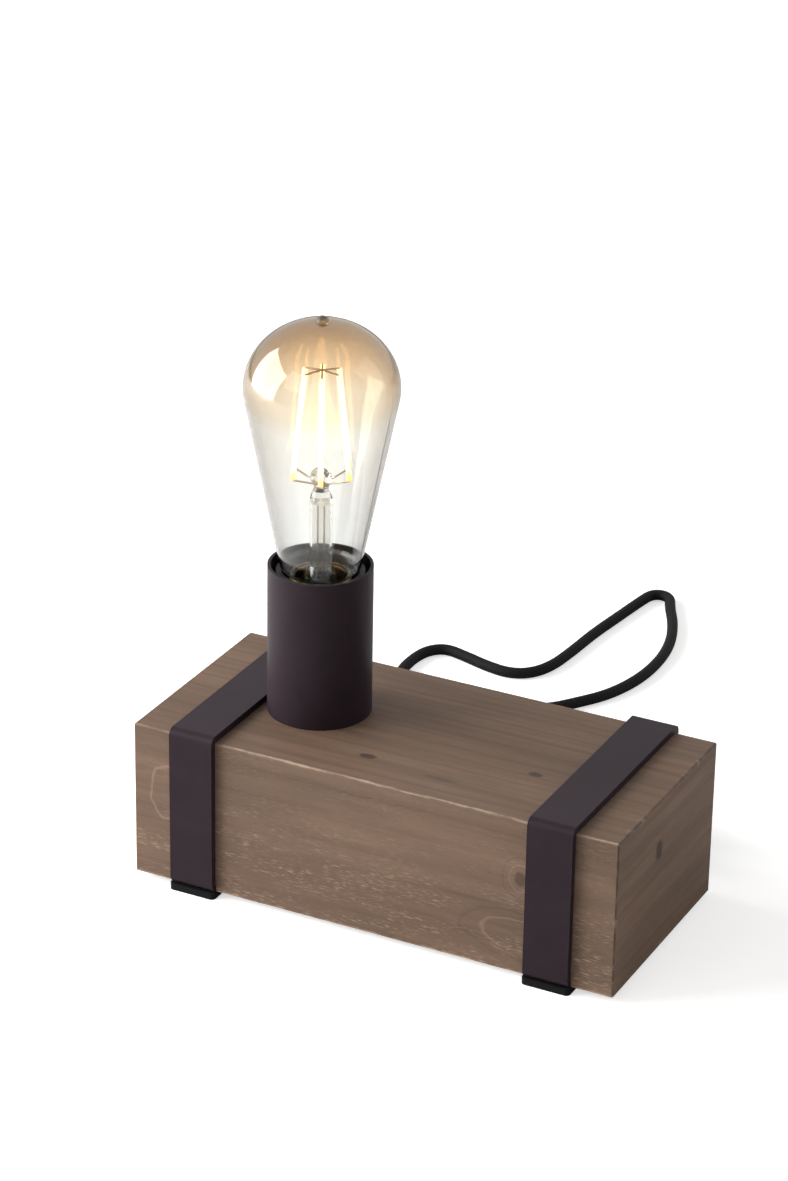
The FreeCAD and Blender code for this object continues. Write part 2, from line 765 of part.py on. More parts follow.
def glass_profile(inset):
    """Half of the glass's section, drawn in by its wall: skirt, neck, cone, shoulder, dome."""
    wide = size("glass_radius") - inset
    bend = size("shoulder_round") - inset
    neck = Vector(size("neck_radius") - inset, 0, size("neck_height"))
    foot = Vector(size("skirt_radius") - inset, 0, size("skirt_height"))
    lip = Vector(foot.x, 0, size("cap_height + glass_seat"))
    flare = Vector(lip.x + (neck.x - lip.x) * 0.62, 0, lip.z + (neck.z - lip.z) * 0.4)
    centre = Vector(wide - bend, 0, size("shoulder_height"))
    # The cone is the straight line from the neck that just touches the shoulder's circle.
    span = centre - neck
    swing = math.atan2(span.z, span.x) - math.asin(bend / span.Length)
    reach = math.sqrt(span.Length ** 2 - bend ** 2)
    touch = neck + Vector(math.cos(swing), 0, math.sin(swing)) * reach
    half = math.atan2(touch.z - centre.z, touch.x - centre.x) / 2
    halfway = centre + Vector(math.cos(half), 0, math.sin(half)) * bend
    widest = Vector(wide, 0, size("shoulder_height"))
    edges = [
        Part.LineSegment(foot, lip).toShape(),
        Part.Arc(lip, flare, neck).toShape(),
        Part.LineSegment(neck, touch).toShape(),
        Part.Arc(touch, halfway, widest).toShape(),
        dome_arc(wide, size("dome_height") - inset).toShape(),
    ]
    return edges, foot


def glass_envelope():
    """The blown glass: skirt in the cap, neck, cone, shoulder, dome and pip."""
    wall = size("glass_wall")
    outer, outer_foot = glass_profile(0.0)
    inner, inner_foot = glass_profile(wall)
    crown = Vector(0, 0, size("shoulder_height + dome_height"))
    closing = [
        Part.LineSegment(crown, crown - Vector(0, 0, wall)).toShape(),
        Part.LineSegment(inner_foot, outer_foot).toShape(),
    ]
    face = Part.Face(Part.Wire(Part.__sortEdges__(outer + inner + closing)))
    glass = face.revolve(Vector(0, 0, 0), Vector(0, 0, 1), 360)
    tip = size("pip_radius")
    middle = crown + Vector(0, 0, size("pip_height") - tip)
    return glass.fuse(Part.makeSphere(tip, middle)).removeSplitter()


def rod(start, end, radius):
    """A straight round wire between two points."""
    return Part.makeCylinder(radius, (end - start).Length, start, end - start)


def filament_ends():
    """The foot and the tip of each LED filament, one of them nearest the front right."""
    ends = []
    for index in range(6):
        angle = math.radians(-63.5 + 60.0 * index)
        out = Vector(math.cos(angle), math.sin(angle), 0)
        foot = out * size("filament_foot_radius") + Vector(0, 0, size("filament_foot_height"))
        tip = out * size("filament_tip_radius") + Vector(0, 0, size("filament_tip_height"))
        ends.append((foot, tip))
    return ends


def filament_supports():
    """Centre wire, feet spokes, tip spokes and the ring that joins the tips."""
    wire = size("support_wire")
    reach = size("filament_radius") + wire
    low = Vector(0, 0, size("stem_height") - 1.0)
    high = Vector(0, 0, size("filament_tip_height") + reach)
    frame = rod(low, high, wire)
    for foot, tip in filament_ends():
        lean = (tip - foot).normalize()
        frame = frame.fuse(rod(low + Vector(0, 0, 0.5), foot - lean * 0.2, wire))
        frame = frame.fuse(rod(high - Vector(0, 0, wire), tip + lean * 0.2, wire))
    return frame


def bulb():
    """The screw-in bulb, from the contact at its foot to the glass."""
    x = "-head_left"
    contact = turned("bulb_contact", [
        ("0", "0"), ("contact_radius - 1", "0"), ("contact_radius", "0.5"),
        ("contact_radius", "contact_height"), ("0", "contact_height"),
    ])
    node(place(contact, x=x, z=BULB_SEAT), "bulb_centre_contact")
    inner = "(cap_core - cap_wall)"
    insulator = turned("bulb_insulator", [
        ("1", "contact_height"), ("contact_radius", "contact_height"),
        (f"{inner} - insulator_gap", "cap_skirt"), (f"{inner} - insulator_gap", "insulator_height"),
        ("1", "insulator_height"),
    ])
    node(place(insulator, x=x, z=BULB_SEAT), "bulb_insulator")

    rib = helix_rib(size("cap_crest - thread_round"), size("cap_thread_start"),
                    size("cap_thread_turns"))
    cap = threaded_tube([
        (inner, "cap_skirt"), ("cap_core", "cap_skirt"), ("cap_core", "cap_height - 1.6"),
        ("cap_crest", "cap_height - 0.8"), ("cap_crest", "cap_height"),
        ("cap_crest - cap_wall", "cap_height"), ("cap_crest - cap_wall", "cap_height - 0.8"),
        (inner, "cap_height - 1.4"),
    ], rib)
    hollow = Part.makeCylinder(size(inner), size("cap_height"))
    cap = cap.cut(hollow)
    node(place(whole("cap", cap), x=x, z=BULB_SEAT), "bulb_cap")

    node(place(whole("glass", glass_envelope()), x=x, z=BULB_SEAT), "bulb_glass")

    flare = "(skirt_radius - glass_wall - insulator_gap)"
    stem = turned("stem", [
        (f"{flare} - stem_wall", "skirt_height"), (flare, "skirt_height"),
        ("stem_radius", "neck_height"), ("stem_radius", "stem_height - 6"),
        ("stem_radius / 2", "stem_height"), ("0", "stem_height"),
        ("0", "stem_height - 8"), ("stem_radius - stem_wall", "stem_height - 8"),
        ("stem_radius - stem_wall", "neck_height"),
    ])
    node(place(stem, x=x, z=BULB_SEAT), "bulb_stem")

    sticks = [rod(foot, tip, size("filament_radius")) for foot, tip in filament_ends()]
    sticks_shape = Part.makeCompound(sticks)
    node(place(whole("sticks", sticks_shape), x=x, z=BULB_SEAT), "led_filaments")
    frame = filament_supports().cut(sticks_shape)
    stem_tip = Part.makeCone(size("stem_radius"), size("stem_radius / 2"), 6,
                             Vector(0, 0, size("stem_height - 6")))
    frame = frame.cut(stem_tip)
    node(place(whole("frame", frame), x=x, z=BULB_SEAT), "filament_supports")

    board = new_body("driver")
    face = sketch_on(board, "XY_Plane", "driver_outline")
    add_rectangle(face, "0", "0", "driver_width", "driver_gauge")
    extrude(board, "Pad", "driver_card", face, "driver_height")
    node(place(board, x=x, z=f"{BULB_SEAT} + insulator_height"), "driver_board")
    lead = turned("lead", [
        ("0", "0"), ("support_wire", "0"),
        ("support_wire", "stem_height - 8 - insulator_height - driver_height"),
        ("0", "stem_height - 8 - insulator_height - driver_height"),
    ])
    z = f"{BULB_SEAT} + insulator_height + driver_height"
    spots = [(f"{x} {sign} lead_spread / 2", "0", z) for sign in "+-"]
    node(group("leads", lead, spots), "bulb_leads")


# ---------------------------------------------------------------- wires and the lead
def path_of(points):
    """Straight runs joined by tangent arcs, and the radius at each inner point."""
    spots = [Vector(*point) for point in points]
    edges, radii = [], []
    here = spots[0]
    for before, corner, after in zip(spots, spots[1:], spots[2:]):
        arrive = (corner - before).normalize()
        leave = (after - corner).normalize()
        half = math.acos(max(-1.0, min(1.0, arrive.dot(leave)))) / 2
        back = 0.45 * min((corner - before).Length, (after - corner).Length)
        radius = back / math.tan(half)
        radii.append(radius)
        start, end = corner - arrive * back, corner + leave * back
        inward = (leave - arrive).normalize()
        middle = corner + inward * (radius / math.cos(half) - radius)
        edges.append(Part.LineSegment(here, start).toShape())
        edges.append(Part.Arc(start, middle, end).toShape())
        here = end
    edges.append(Part.LineSegment(here, spots[-1]).toShape())
    return Part.Wire(edges), radii


def tube(name, points, radius):
    """A round tube along a hand-chosen route, checked against its section and length."""
    wire, radii = path_of(points)
    solid = swept(wire, radius)
    expected = math.pi * radius ** 2 * wire.Length
    share = solid.Volume / expected
    tightest = min(radii) if radii else 0.0
    print(f"{name}: {wire.Length:.1f} mm long, tightest arc {tightest:.1f} mm, volume {share:.4f}")
    print("   arcs", " ".join(f"{value:.0f}" for value in radii))
    if abs(share - 1) > 0.01:
        raise RuntimeError(f"{name}: the swept volume does not match")
    return solid, wire.Length


def gland():
    """The bush through the back board, its nut and the rubber strain relief."""
    bore = "cord_radius + cord_fit"
    x, z = "-gland_left", "gland_height"
    backwards = Rotation(0, 0, -90)
    bush = turned("bush", [
        (bore, "-board_thickness - gland_tail"), ("gland_radius", "-board_thickness - gland_tail"),
        ("gland_radius", "0"), ("gland_flange", "0"), ("gland_flange", "gland_flange_gauge"),
        (bore, "gland_flange_gauge"),
    ])
    node(place(bush, x, BACK, z, backwards), "cord_bush")
    hexagon_nut("bush_nut", "gland_nut_across", "gland_nut_height", "gland_radius + nipple_gap",
                x, f"{BACK} - board_thickness - gland_nut_height", z, backwards)
    relief = turned("relief", [
        (bore, "0"), ("relief_root", "0"), ("relief_tip", "relief_length"),
        (bore, "relief_length"),
    ])
    node(place(relief, x, f"{BACK} + gland_flange_gauge", z, backwards), "strain_relief")


def terminal_block():
    """The screw terminal block under the top board, with its barrels and screws."""
    x, y = "-block_terminal_x", "0"
    body = new_body("terminal_case")
    face = sketch_on(body, "XY_Plane", "terminal_case_outline")
    add_rectangle(face, "0", "0", "block_terminal_width", "block_terminal_length")
    extrude(body, "Pad", "terminal_case_block", face, "block_terminal_height", flip=True)
    bores = sketch_on(body, "XZ_Plane", "terminal_case_bores")
    taps = sketch_on(body, "XY_Plane", "terminal_case_taps", "-block_terminal_height")
    tap_y = "block_terminal_length / 4"
    for side in ("", "-"):
        add_circle(bores, f"{side}barrel_spread / 2", "-block_terminal_height / 2",
                   "barrel_radius + barrel_gap")
        for end in ("", "-"):
            add_circle(taps, f"{side}barrel_spread / 2", f"{end}{tap_y}",
                       "barrel_screw + barrel_gap")
    cut(body, "terminal_case_bore", bores, "2 * block_terminal_length", both=True)
    cut(body, "terminal_case_tap", taps, "block_terminal_height / 2", flip=True)
    node(place(body, x, y, CEILING), "terminal_block")

    barrel = turned("barrel", [
        ("barrel_bore", "-block_terminal_length / 2"),
        ("barrel_radius", "-block_terminal_length / 2"),
        ("barrel_radius", "block_terminal_length / 2"),
        ("barrel_bore", "block_terminal_length / 2"),
    ])
    level = f"{CEILING} - block_terminal_height / 2"
    backwards = Rotation(0, 0, -90)
    spots = [(f"{x} {sign} barrel_spread / 2", y, level) for sign in "+-"]
    barrels = group("barrels", barrel, spots, [backwards, backwards])
    node(barrels, "terminal_barrels")
    screw = turned("barrel_screw", [
        ("0", "0"), ("barrel_screw", "0"),
        ("barrel_screw", "block_terminal_height / 2 - barrel_radius - barrel_gap"),
        ("0", "block_terminal_height / 2 - barrel_radius - barrel_gap"),
    ])
    spots = [(f"{x} {a} barrel_spread / 2", f"{b}{tap_y}", f"{CEILING} - block_terminal_height")
             for a in "+-" for b in ("", "-")]
    node(group("barrel_screws", screw, spots), "terminal_screws")


def inner_wiring():
    """The sheathed lead inside the box, and the wires on to the lampholder."""
    cord, wire, core = size("cord_radius"), size("wire_radius"), size("core_radius")
    x = size("-gland_left")
    z = size("gland_height")
    end = size(f"{BACK} + gland_flange_gauge")
    centre = size("-block_terminal_x")
    level = size(f"{CEILING} - block_terminal_height / 2")
    back = size("block_terminal_length / 2")
    route = [(x, end, z), (x, 22.0, z), (x + 5.0, 6.0, z + 5.0), (x + 18.0, 0.5, z + 14.0),
             (x + 30.0, 10.0, z + 24.0), (centre - 8.0, 26.0, level - 4.0),
             (centre, 27.0, level), (centre, back + 6.0, level)]
    solid, _ = tube("inner lead", route, cord)
    node(whole("inner_lead", solid), "inner_cord")

    half = size("barrel_spread / 2")
    cores = []
    for side in (-1, 1):
        solid, _ = tube("core", [
            (centre + side * core * 1.05, back + 6.0, level),
            (centre + side * core * 1.05, back + 4.2, level),
            (centre + side * half, back + 1.6, level),
            (centre + side * half, back - 1.5, level),
        ], core)
        cores.append(solid)
    node(whole("cores", Part.makeCompound(cores)), "inner_cord_cores")

    head = size("-head_left")
    under = size(f"{INSERT_SEAT} - insert_boss - terminal_height")
    nipple_foot = size(f"{CEILING} - nipple_below")
    nipple_top = nipple_foot + size("nipple_length")
    reach = size("terminal_spread / 2")
    for side, label in ((-1, "wire_live"), (1, "wire_neutral")):
        start = centre + side * half
        lane = head + side * 1.3
        route = [
            (start, -back + 2.0, level), (start, -back - 9.0 - 3.0 * side, level - 1.0),
            (start - 10.0, -back - 16.0 - 3.0 * side, level - 8.0 - 4.0 * side),
            (head + 12.0 + 4.0 * side, -back - 8.0 - 3.0 * side, level - 14.0 - 4.0 * side),
            (lane, -3.0, nipple_foot - 8.0), (lane, 0.0, nipple_foot + 2.0),
            (lane, 0.0, nipple_top + 0.8),
            (head + side * reach, 0.0, under - 1.2), (head + side * reach, 0.0, under + 3.0),
        ]
        solid, _ = tube(label, route, wire)
        node(whole(f"{label}_tube", solid), label)


FLOOR = size("cord_radius") + 0.05
RISE = size(CORD_HEIGHT)

# The lead as it lies: out of the box, across the table and back to the switch.
LEAD_ROUTE = [
    (-62.0, 52.0, 20.0), (-62.0, 94.0, 20.0), (-79.5, 129.0, FLOOR), (-91.5, 151.0, FLOOR),
    (-97.6, 172.0, FLOOR), (-98.8, 187.0, FLOOR), (-96.8, 199.5, FLOOR), (-90.0, 206.0, FLOOR),
    (-79.0, 203.2, FLOOR), (-64.5, 198.3, FLOOR),
    (-52.0, 196.4, FLOOR), (-43.0, 201.5, FLOOR), (-37.8, 213.0, FLOOR), (-36.0, 231.0, FLOOR),
    (-35.0, 254.0, FLOOR), (-32.4, 276.0, FLOOR), (-30.0, 297.0, FLOOR), (-28.0, 310.5, FLOOR),
    (-19.0, 311.0, FLOOR), (-14.0, 299.0, FLOOR), (-6.0, 284.0, FLOOR), (1.5, 264.0, FLOOR),
    (5.0, 242.0, FLOOR), (4.0, 219.0, FLOOR), (-2.0, 198.0, FLOOR), (-12.0, 183.0, FLOOR),
    (-20.0, 170.0, 3.4), (-28.0, 157.0, RISE), (-28.0, 142.0, RISE),
]
# From the switch to the start of the coil.
FEED_ROUTE = [
    (-28.0, 97.0, RISE), (-28.0, 84.5, RISE), (-22.5, 73.5, 4.3), (-10.0, 66.0, 2.8),
    (6.8, 63.5, 3.5), (22.8, 63.5, 3.5),
]
# From the end of the coil to the plug that lies on it.
TAIL_ROUTE = [
    (-1.487, 122.133, 9.2), (-8.558, 115.062, 9.2), (-11.5, 104.0, 12.0), (-7.5, 91.5, 15.0),
    (3.0, 83.0, 17.8), (9.0, 81.0, 19.1), (18.0, 81.0, 19.1),
]


def coil_point(angle):
    """A point of the coil's middle line at an angle, in degrees, past its start."""
    reverse = size("coil_turns") * 360.0
    spread = size("coil_pitch")
    inward = abs(angle - reverse) / 360.0
    rounding = 90.0 / 360.0
    if inward < rounding:
        inward = (inward ** 2 / rounding + rounding) / 2
    radius = size("coil_radius") - spread * (size("coil_turns") - inward)
    climb = min(1.0, max(0.0, (angle - reverse + 90.0) / 180.0))
    ease = climb * climb * (3.0 - 2.0 * climb)
    height = size(COIL_BASE) + size("coil_layer_rise") * ease
    turn = math.radians(angle - 90.0)
    return Vector(size("coil_x") + radius * math.cos(turn),
                  size("coil_y") + radius * math.sin(turn), height)


def coil():
    """The spare lead, one unbroken tube wound in two layers, in and out again."""
    total = 2 * size("coil_turns") * 360.0
    steps = round(total / 90.0)
    angles = [total * index / steps for index in range(steps + 1)]
    points = [coil_point(angle) for angle in angles]
    headings = []
    for angle in angles:
        headings.append((coil_point(angle + 0.5) - coil_point(angle - 0.5)).normalize())
    headings[0] = Vector(1, 0, 0)
    last = math.radians(total)
    headings[-1] = Vector(math.cos(last), math.sin(last), 0)
    straight = 2 * size("cord_radius")
    edges = [Part.LineSegment(points[0] - headings[0] * straight, points[0]).toShape()]
    for index in range(steps):
        arcs = biarc(points[index], headings[index], points[index + 1], headings[index + 1])
        edges.extend(arc.toShape() for arc in arcs)
    edges.append(Part.LineSegment(points[-1], points[-1] + headings[-1] * straight).toShape())
    wire = Part.Wire(edges)
    solid = swept(wire, size("cord_radius"))
    expected = math.pi * size("cord_radius") ** 2 * wire.Length
    samples = [(angle, coil_point(angle)) for angle in range(0, int(total), 4)]
    gap = min((a[1] - b[1]).Length for a in samples for b in samples if b[0] - a[0] > 120)
    gap -= 2 * size("cord_radius")
    print(f"coil: {wire.Length:.1f} mm, least gap {gap:.2f} mm, volume {solid.Volume / expected:.4f}")
    print("   starts", tuple(points[0] - headings[0] * straight), "ends",
          tuple(points[-1] + headings[-1] * straight))
    if gap < 0.4:
        raise RuntimeError("the coil's turns lie too close")
    return solid, wire.Length


def lead():
    """The free stretches of the lead, its coil and the tie round the coil."""
    radius = size("cord_radius")
    run, run_length = tube("lead run", LEAD_ROUTE, radius)
    feed, feed_length = tube("coil feed", FEED_ROUTE, radius)
    tail, tail_length = tube("plug tail", TAIL_ROUTE, radius)
    wound, wound_length = coil()
    node(whole("run", run), "cord_run")
    node(whole("feed", feed), "cord_feed")
    node(whole("wound", wound), "cord_coil")
    node(whole("tail", tail), "cord_tail")
    total = run_length + feed_length + tail_length + wound_length
    print(f"lead outside the box: {total:.0f} mm without the switch, "
          f"{total + size('switch_length'):.0f} mm with it")

    wide = "(coil_turns * coil_pitch + 2 * cord_radius + 2 * tie_gap)"
    low, high = "tie_gauge", f"({COIL_TOP} + tie_gap)"
    tie = new_body("tie")
    face = sketch_on(tie, "XZ_Plane", "tie_outline")
    add_outline(face, [(f"-{wide} / 2 - tie_gauge", "0"), (f"{wide} / 2 + tie_gauge", "0"),
                       (f"{wide} / 2 + tie_gauge", f"{high} + tie_gauge"),
                       (f"-{wide} / 2 - tie_gauge", f"{high} + tie_gauge")])
    add_outline(face, [(f"-{wide} / 2", low), (f"{wide} / 2", low), (f"{wide} / 2", high),
                       (f"-{wide} / 2", high)])
    extrude(tie, "Pad", "tie_band", face, "tie_width", both=True)
    middle = size("coil_radius - coil_turns * coil_pitch / 2")
    angle = math.radians(size("tie_angle"))
    spot = Vector(size("coil_x") + middle * math.cos(angle),
                  size("coil_y") + middle * math.sin(angle), 0)
    tie.Placement = Placement(spot, Rotation(size("tie_angle"), 0, 0))
    node(tie, "cord_tie")


# ---------------------------------------------------------------- switch and plug
def switch_shell(label, upper):
    """Half of the switch case: a rounded tray with two screw bosses."""
    body = new_body(label)
    half = "(switch_height / 2)"
    face = sketch_on(body, "XY_Plane", f"{label}_outline")
    add_rectangle(face, "0", "0", "switch_width", "switch_length")
    extrude(body, "Pad", f"{label}_block", face, half, flip=not upper)
    fillet(body, f"{label}_corners", lambda middle, direction: along(direction, 2),
           "switch_corner")
    level = size(half) * (1 if upper else -1)
    fillet(body, f"{label}_rim", lambda middle, direction: abs(middle.z - level) < 1e-3,
           "switch_edge")
    doc.recompute()
    cavity = sketch_on(body, "XY_Plane", f"{label}_cavity")
    add_rectangle(cavity, "0", "0", "switch_width - 2 * switch_wall",
                  "switch_length - 2 * switch_wall - 4")
    cut(body, f"{label}_hollow", cavity, f"{half} - switch_wall", flip=upper)
    bosses = sketch_on(body, "XY_Plane", f"{label}_bosses")
    for side in ("", "-"):
        add_circle(bosses, f"{side}boss_spread_x / 2", f"{side}boss_spread_y / 2", "boss_radius")
    extrude(body, "Pad", f"{label}_boss", bosses, f"{half} - switch_wall / 2", flip=not upper)
    doc.recompute()
    bores = sketch_on(body, "XY_Plane", f"{label}_bores")
    for side in ("", "-"):
        add_circle(bores, f"{side}boss_spread_x / 2", f"{side}boss_spread_y / 2",
                   "case_screw + screw_gap")
    depth = "case_screw_length - switch_height / 2 + screw_gap" if upper else f"{half} + 1"
    cut(body, f"{label}_bore", bores, depth, flip=upper)
    entry = sketch_on(body, "XZ_Plane", f"{label}_entry")
    add_circle(entry, "0", "0", "cord_radius + cord_fit / 2")
    cut(body, f"{label}_cord_entry", entry, "2 * switch_length", both=True)
    return body


def rocker_switch():
    """The rocker switch on the lead: case halves, rocker, pivot, contacts and screws."""
    x, y, level = "-switch_left", "switch_middle", CORD_HEIGHT
    lower = switch_shell("switch_lower", False)
    sinks = sketch_on(lower, "XY_Plane", "switch_sinks", "-switch_height / 2")
    for side in ("", "-"):
        add_circle(sinks, f"{side}boss_spread_x / 2", f"{side}boss_spread_y / 2",
                   "case_screw_head + screw_gap")
    cut(lower, "switch_sink", sinks, "switch_wall / 2", flip=True)
    node(place(lower, x, y, level), "switch_lower_case")

    upper = switch_shell("switch_upper", True)
    window = sketch_on(upper, "XY_Plane", "switch_window", "switch_height / 2")
    add_rectangle(window, "0", "0", "rocker_width + 2 * rocker_gap",
                  "rocker_length + 2 * rocker_gap")
    cut(upper, "switch_window_cut", window, "switch_wall + 0.5")
    pivot_z = "(switch_height / 2 - pivot_drop)"
    ears = sketch_on(upper, "XY_Plane", "switch_ears", "switch_height / 2 - switch_wall")
    for side in ("", "-"):
        add_rectangle(ears, f"{side}((rocker_width + ear_gauge) / 2 + rocker_gap)", "0",
                      "ear_gauge", "6 * pivot_radius")
    extrude(upper, "Pad", "switch_ear", ears, "pivot_drop + 2 * pivot_radius - switch_wall + 1",
            flip=True)
    doc.recompute()
    pins = sketch_on(upper, "YZ_Plane", "switch_pivot")
    add_circle(pins, "0", pivot_z, "pivot_radius + pivot_gap")
    cut(upper, "switch_pivot_hole", pins, "rocker_width + 2 * rocker_gap + 2 * ear_gauge - 0.4",
        both=True)
    node(place(upper, x, y, level), "switch_upper_case")

    pin = turned("pivot", [
        ("0", "-rocker_width / 2 - rocker_gap - ear_gauge + 0.4"),
        ("pivot_radius", "-rocker_width / 2 - rocker_gap - ear_gauge + 0.4"),
        ("pivot_radius", "rocker_width / 2 + rocker_gap + ear_gauge - 0.4"),
        ("0", "rocker_width / 2 + rocker_gap + ear_gauge - 0.4"),
    ])
    node(place(pin, x, y, f"{level} + {pivot_z}", Rotation(0, 90, 0)), "rocker_pivot")

    rocker = new_body("rocker")
    side = sketch_on(rocker, "YZ_Plane", "rocker_side")
    top = "pivot_drop + rocker_rise"
    add_outline(side, [
        ("-rocker_length / 2", f"{top}"), ("0", f"{top} - 1"), ("rocker_length / 2", f"{top}"),
        ("rocker_length / 2 - 0.5", "0"), ("rocker_length / 4", "-rocker_depth / 2"),
        ("-rocker_length / 4", "-rocker_depth / 2"), ("-(rocker_length / 2 - 0.5)", "0"),
    ])
    add_circle(side, "0", "0", "pivot_radius + pivot_gap")
    extrude(rocker, "Pad", "rocker_block", side, "rocker_width", both=True)
    tilt = Rotation(Vector(1, 0, 0), size("rocker_tilt"))
    node(place(rocker, x, y, f"{level} + {pivot_z}", tilt), "switch_rocker")

    contact = new_body("contact_block")
    face = sketch_on(contact, "XY_Plane", "contact_outline")
    add_rectangle(face, "0", "0", "switch_contact_side", "switch_contact_side")
    extrude(contact, "Pad", "contact_prism", face, "switch_contact_height")
    floor = "switch_wall"
    spots = [(x, f"{y} {sign} switch_contact_spread / 2", floor) for sign in "+-"]
    node(group("contact_pair", contact, spots), "switch_contacts")

    screw = turned("case_screw_turned", [
        ("0", "0"), ("case_screw_head", "0"), ("case_screw_head", "switch_wall / 2"),
        ("case_screw", "switch_wall / 2"), ("case_screw", "case_screw_length"),
        ("0", "case_screw_length"),
    ])
    spots = [(f"{x} {sign} boss_spread_x / 2", f"{y} {sign} boss_spread_y / 2", "0")
             for sign in "+-"]
    node(group("case_screw_pair", screw, spots), "switch_screws")


def plug():
    """A flat two-pin plug lying on the coil, moulded on the end of the lead."""
    along_x = Rotation(0, 90, 0)
    body = new_body("plug_moulding")
    face = sketch_on(body, "XY_Plane", "plug_outline")
    front, nose = "plug_relief + plug_length", "plug_relief + 8"
    add_outline(face, [
        ("plug_relief", "-plug_waist / 2"), (nose, "-plug_width / 2 + 2"),
        (f"{front} - 12", "-plug_width / 2"), (front, "-plug_width / 2 + 3"),
        (front, "plug_width / 2 - 3"), (f"{front} - 12", "plug_width / 2"),
        (nose, "plug_width / 2 - 2"), ("plug_relief", "plug_waist / 2"),
    ])
    extrude(body, "Pad", "plug_block", face, "plug_thickness", both=True)
    doc.recompute()
    outer = size("plug_thickness / 2")
    fillet(body, "plug_edges", lambda middle, direction: abs(abs(middle.z) - outer) < 1e-3,
           "plug_edge")
    doc.recompute()
    sleeve = sketch_on(body, "XY_Plane", "plug_relief_outline")
    add_outline(sleeve, [("0", "0"), ("0", "plug_relief_tip"),
                         ("plug_relief + 3", "plug_relief_root"), ("plug_relief + 3", "0")])
    relief = body.newObject("PartDesign::Revolution", "plug_relief_turn")
    relief.Profile = sleeve
    relief.ReferenceAxis = (sleeve, ["H_Axis"])
    relief.Angle = 360
    doc.recompute()
    sockets = sketch_on(body, "YZ_Plane", "plug_sockets", front)
    for side in ("", "-"):
        add_circle(sockets, f"{side}pin_spread / 2", "0", "pin_radius - pin_sleeve_wall")
    cut(body, "plug_socket", sockets, "pin_root")
    node(place(body, "plug_x", "plug_y", PLUG_HEIGHT), "plug_body")

    start = f"(plug_x + {front} - pin_root)"
    waist = "(pin_radius - pin_sleeve_wall)"
    pin = turned("plug_pin", [
        ("0", "0"), (waist, "0"), (waist, "pin_root + pin_sleeve_length"),
        ("pin_radius", "pin_root + pin_sleeve_length"),
        ("pin_radius", "pin_root + pin_length - 1"), ("pin_radius - 1", "pin_root + pin_length"),
        ("0", "pin_root + pin_length"),
    ])
    spots = [(start, f"plug_y {sign} pin_spread / 2", PLUG_HEIGHT) for sign in "+-"]
    node(group("pin_pair", pin, spots, [along_x, along_x]), "plug_pins")
    sleeve_tube = turned("pin_sleeve", [
        (waist, "pin_root + pin_sleeve_start"), ("pin_radius", "pin_root + pin_sleeve_start"),
        ("pin_radius", "pin_root + pin_sleeve_length"), (waist, "pin_root + pin_sleeve_length"),
    ])
    node(group("sleeve_pair", sleeve_tube, spots, [along_x, along_x]), "plug_pin_sleeves")


# ---------------------------------------------------------------- build, check, write
def write_parts():
    """Check every object of the document, then write one file for each sub-part."""
    doc.recompute()
    for thing in doc.Objects:
        if any(word in ("Invalid", "Error") for word in thing.State):
            raise RuntimeError(f"{thing.Name} did not build: {thing.State}")
    os.makedirs("parts", exist_ok=True)
    for thing in nodes:
        shape = thing.Shape
        if shape.isNull() or not shape.isValid() or not shape.Solids:
            raise RuntimeError(f"{thing.Label} has no valid solid")
        shape.exportStep(f"parts/{thing.Label}.step")
    box = Part.makeCompound([thing.Shape for thing in nodes]).BoundBox
    print(f"{len(nodes)} sub-parts, X {box.XMin:.1f} to {box.XMax:.1f}, "
          f"Y {box.YMin:.1f} to {box.YMax:.1f}, Z {box.ZMin:.2f} to {box.ZMax:.2f}")


timber_box()
bottom_panel()
straps_and_feet()
lamp_head()
lampholder()
bulb()
gland()
terminal_block()
inner_wiring()
lead()
rocker_switch()
plug()
write_parts()
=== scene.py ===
# %% [markdown]
# # A bare bulb table lamp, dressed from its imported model
# The lamp is a mitred box of brown stained softwood under two bent steel straps. A steel
# cover stands on it and holds a clear filament bulb, and a black lead leaves the back.
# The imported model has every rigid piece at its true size, so most of this lesson is
# about finishes. The pieces that get a new shape are the lead, its strain relief, the
# tie round its spare length, the crumpled glass pinch in the bulb and a few small trims.

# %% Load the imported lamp
import math

import bmesh
import bpy
from mathutils import Matrix, Vector


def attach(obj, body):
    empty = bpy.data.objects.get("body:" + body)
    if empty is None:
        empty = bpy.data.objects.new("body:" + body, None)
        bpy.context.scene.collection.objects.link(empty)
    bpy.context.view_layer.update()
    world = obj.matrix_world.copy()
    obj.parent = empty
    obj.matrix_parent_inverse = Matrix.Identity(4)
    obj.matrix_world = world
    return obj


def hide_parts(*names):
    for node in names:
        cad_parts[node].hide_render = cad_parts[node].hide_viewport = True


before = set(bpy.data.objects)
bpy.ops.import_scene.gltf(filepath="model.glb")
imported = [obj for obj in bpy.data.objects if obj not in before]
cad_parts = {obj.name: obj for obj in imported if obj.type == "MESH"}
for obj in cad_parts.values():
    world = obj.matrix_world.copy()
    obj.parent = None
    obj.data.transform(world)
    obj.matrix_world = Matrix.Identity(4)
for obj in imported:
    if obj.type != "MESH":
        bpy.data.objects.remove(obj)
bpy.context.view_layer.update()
print("packed nodes:", len(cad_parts))

# %% [markdown]
# ## Helpers
# Real sizes are given in millimetres and turned to metres by one factor. Colours are
# sRGB hex values, as a colour picker shows them, and one function makes them linear.
# One function adds a shader node with its settings and links, whatever its kind.

# %% Sizes, colours and nodes
MM = 0.001


def mm(*values):
    """A point given in millimetres, in metres."""
    return Vector(values) * MM


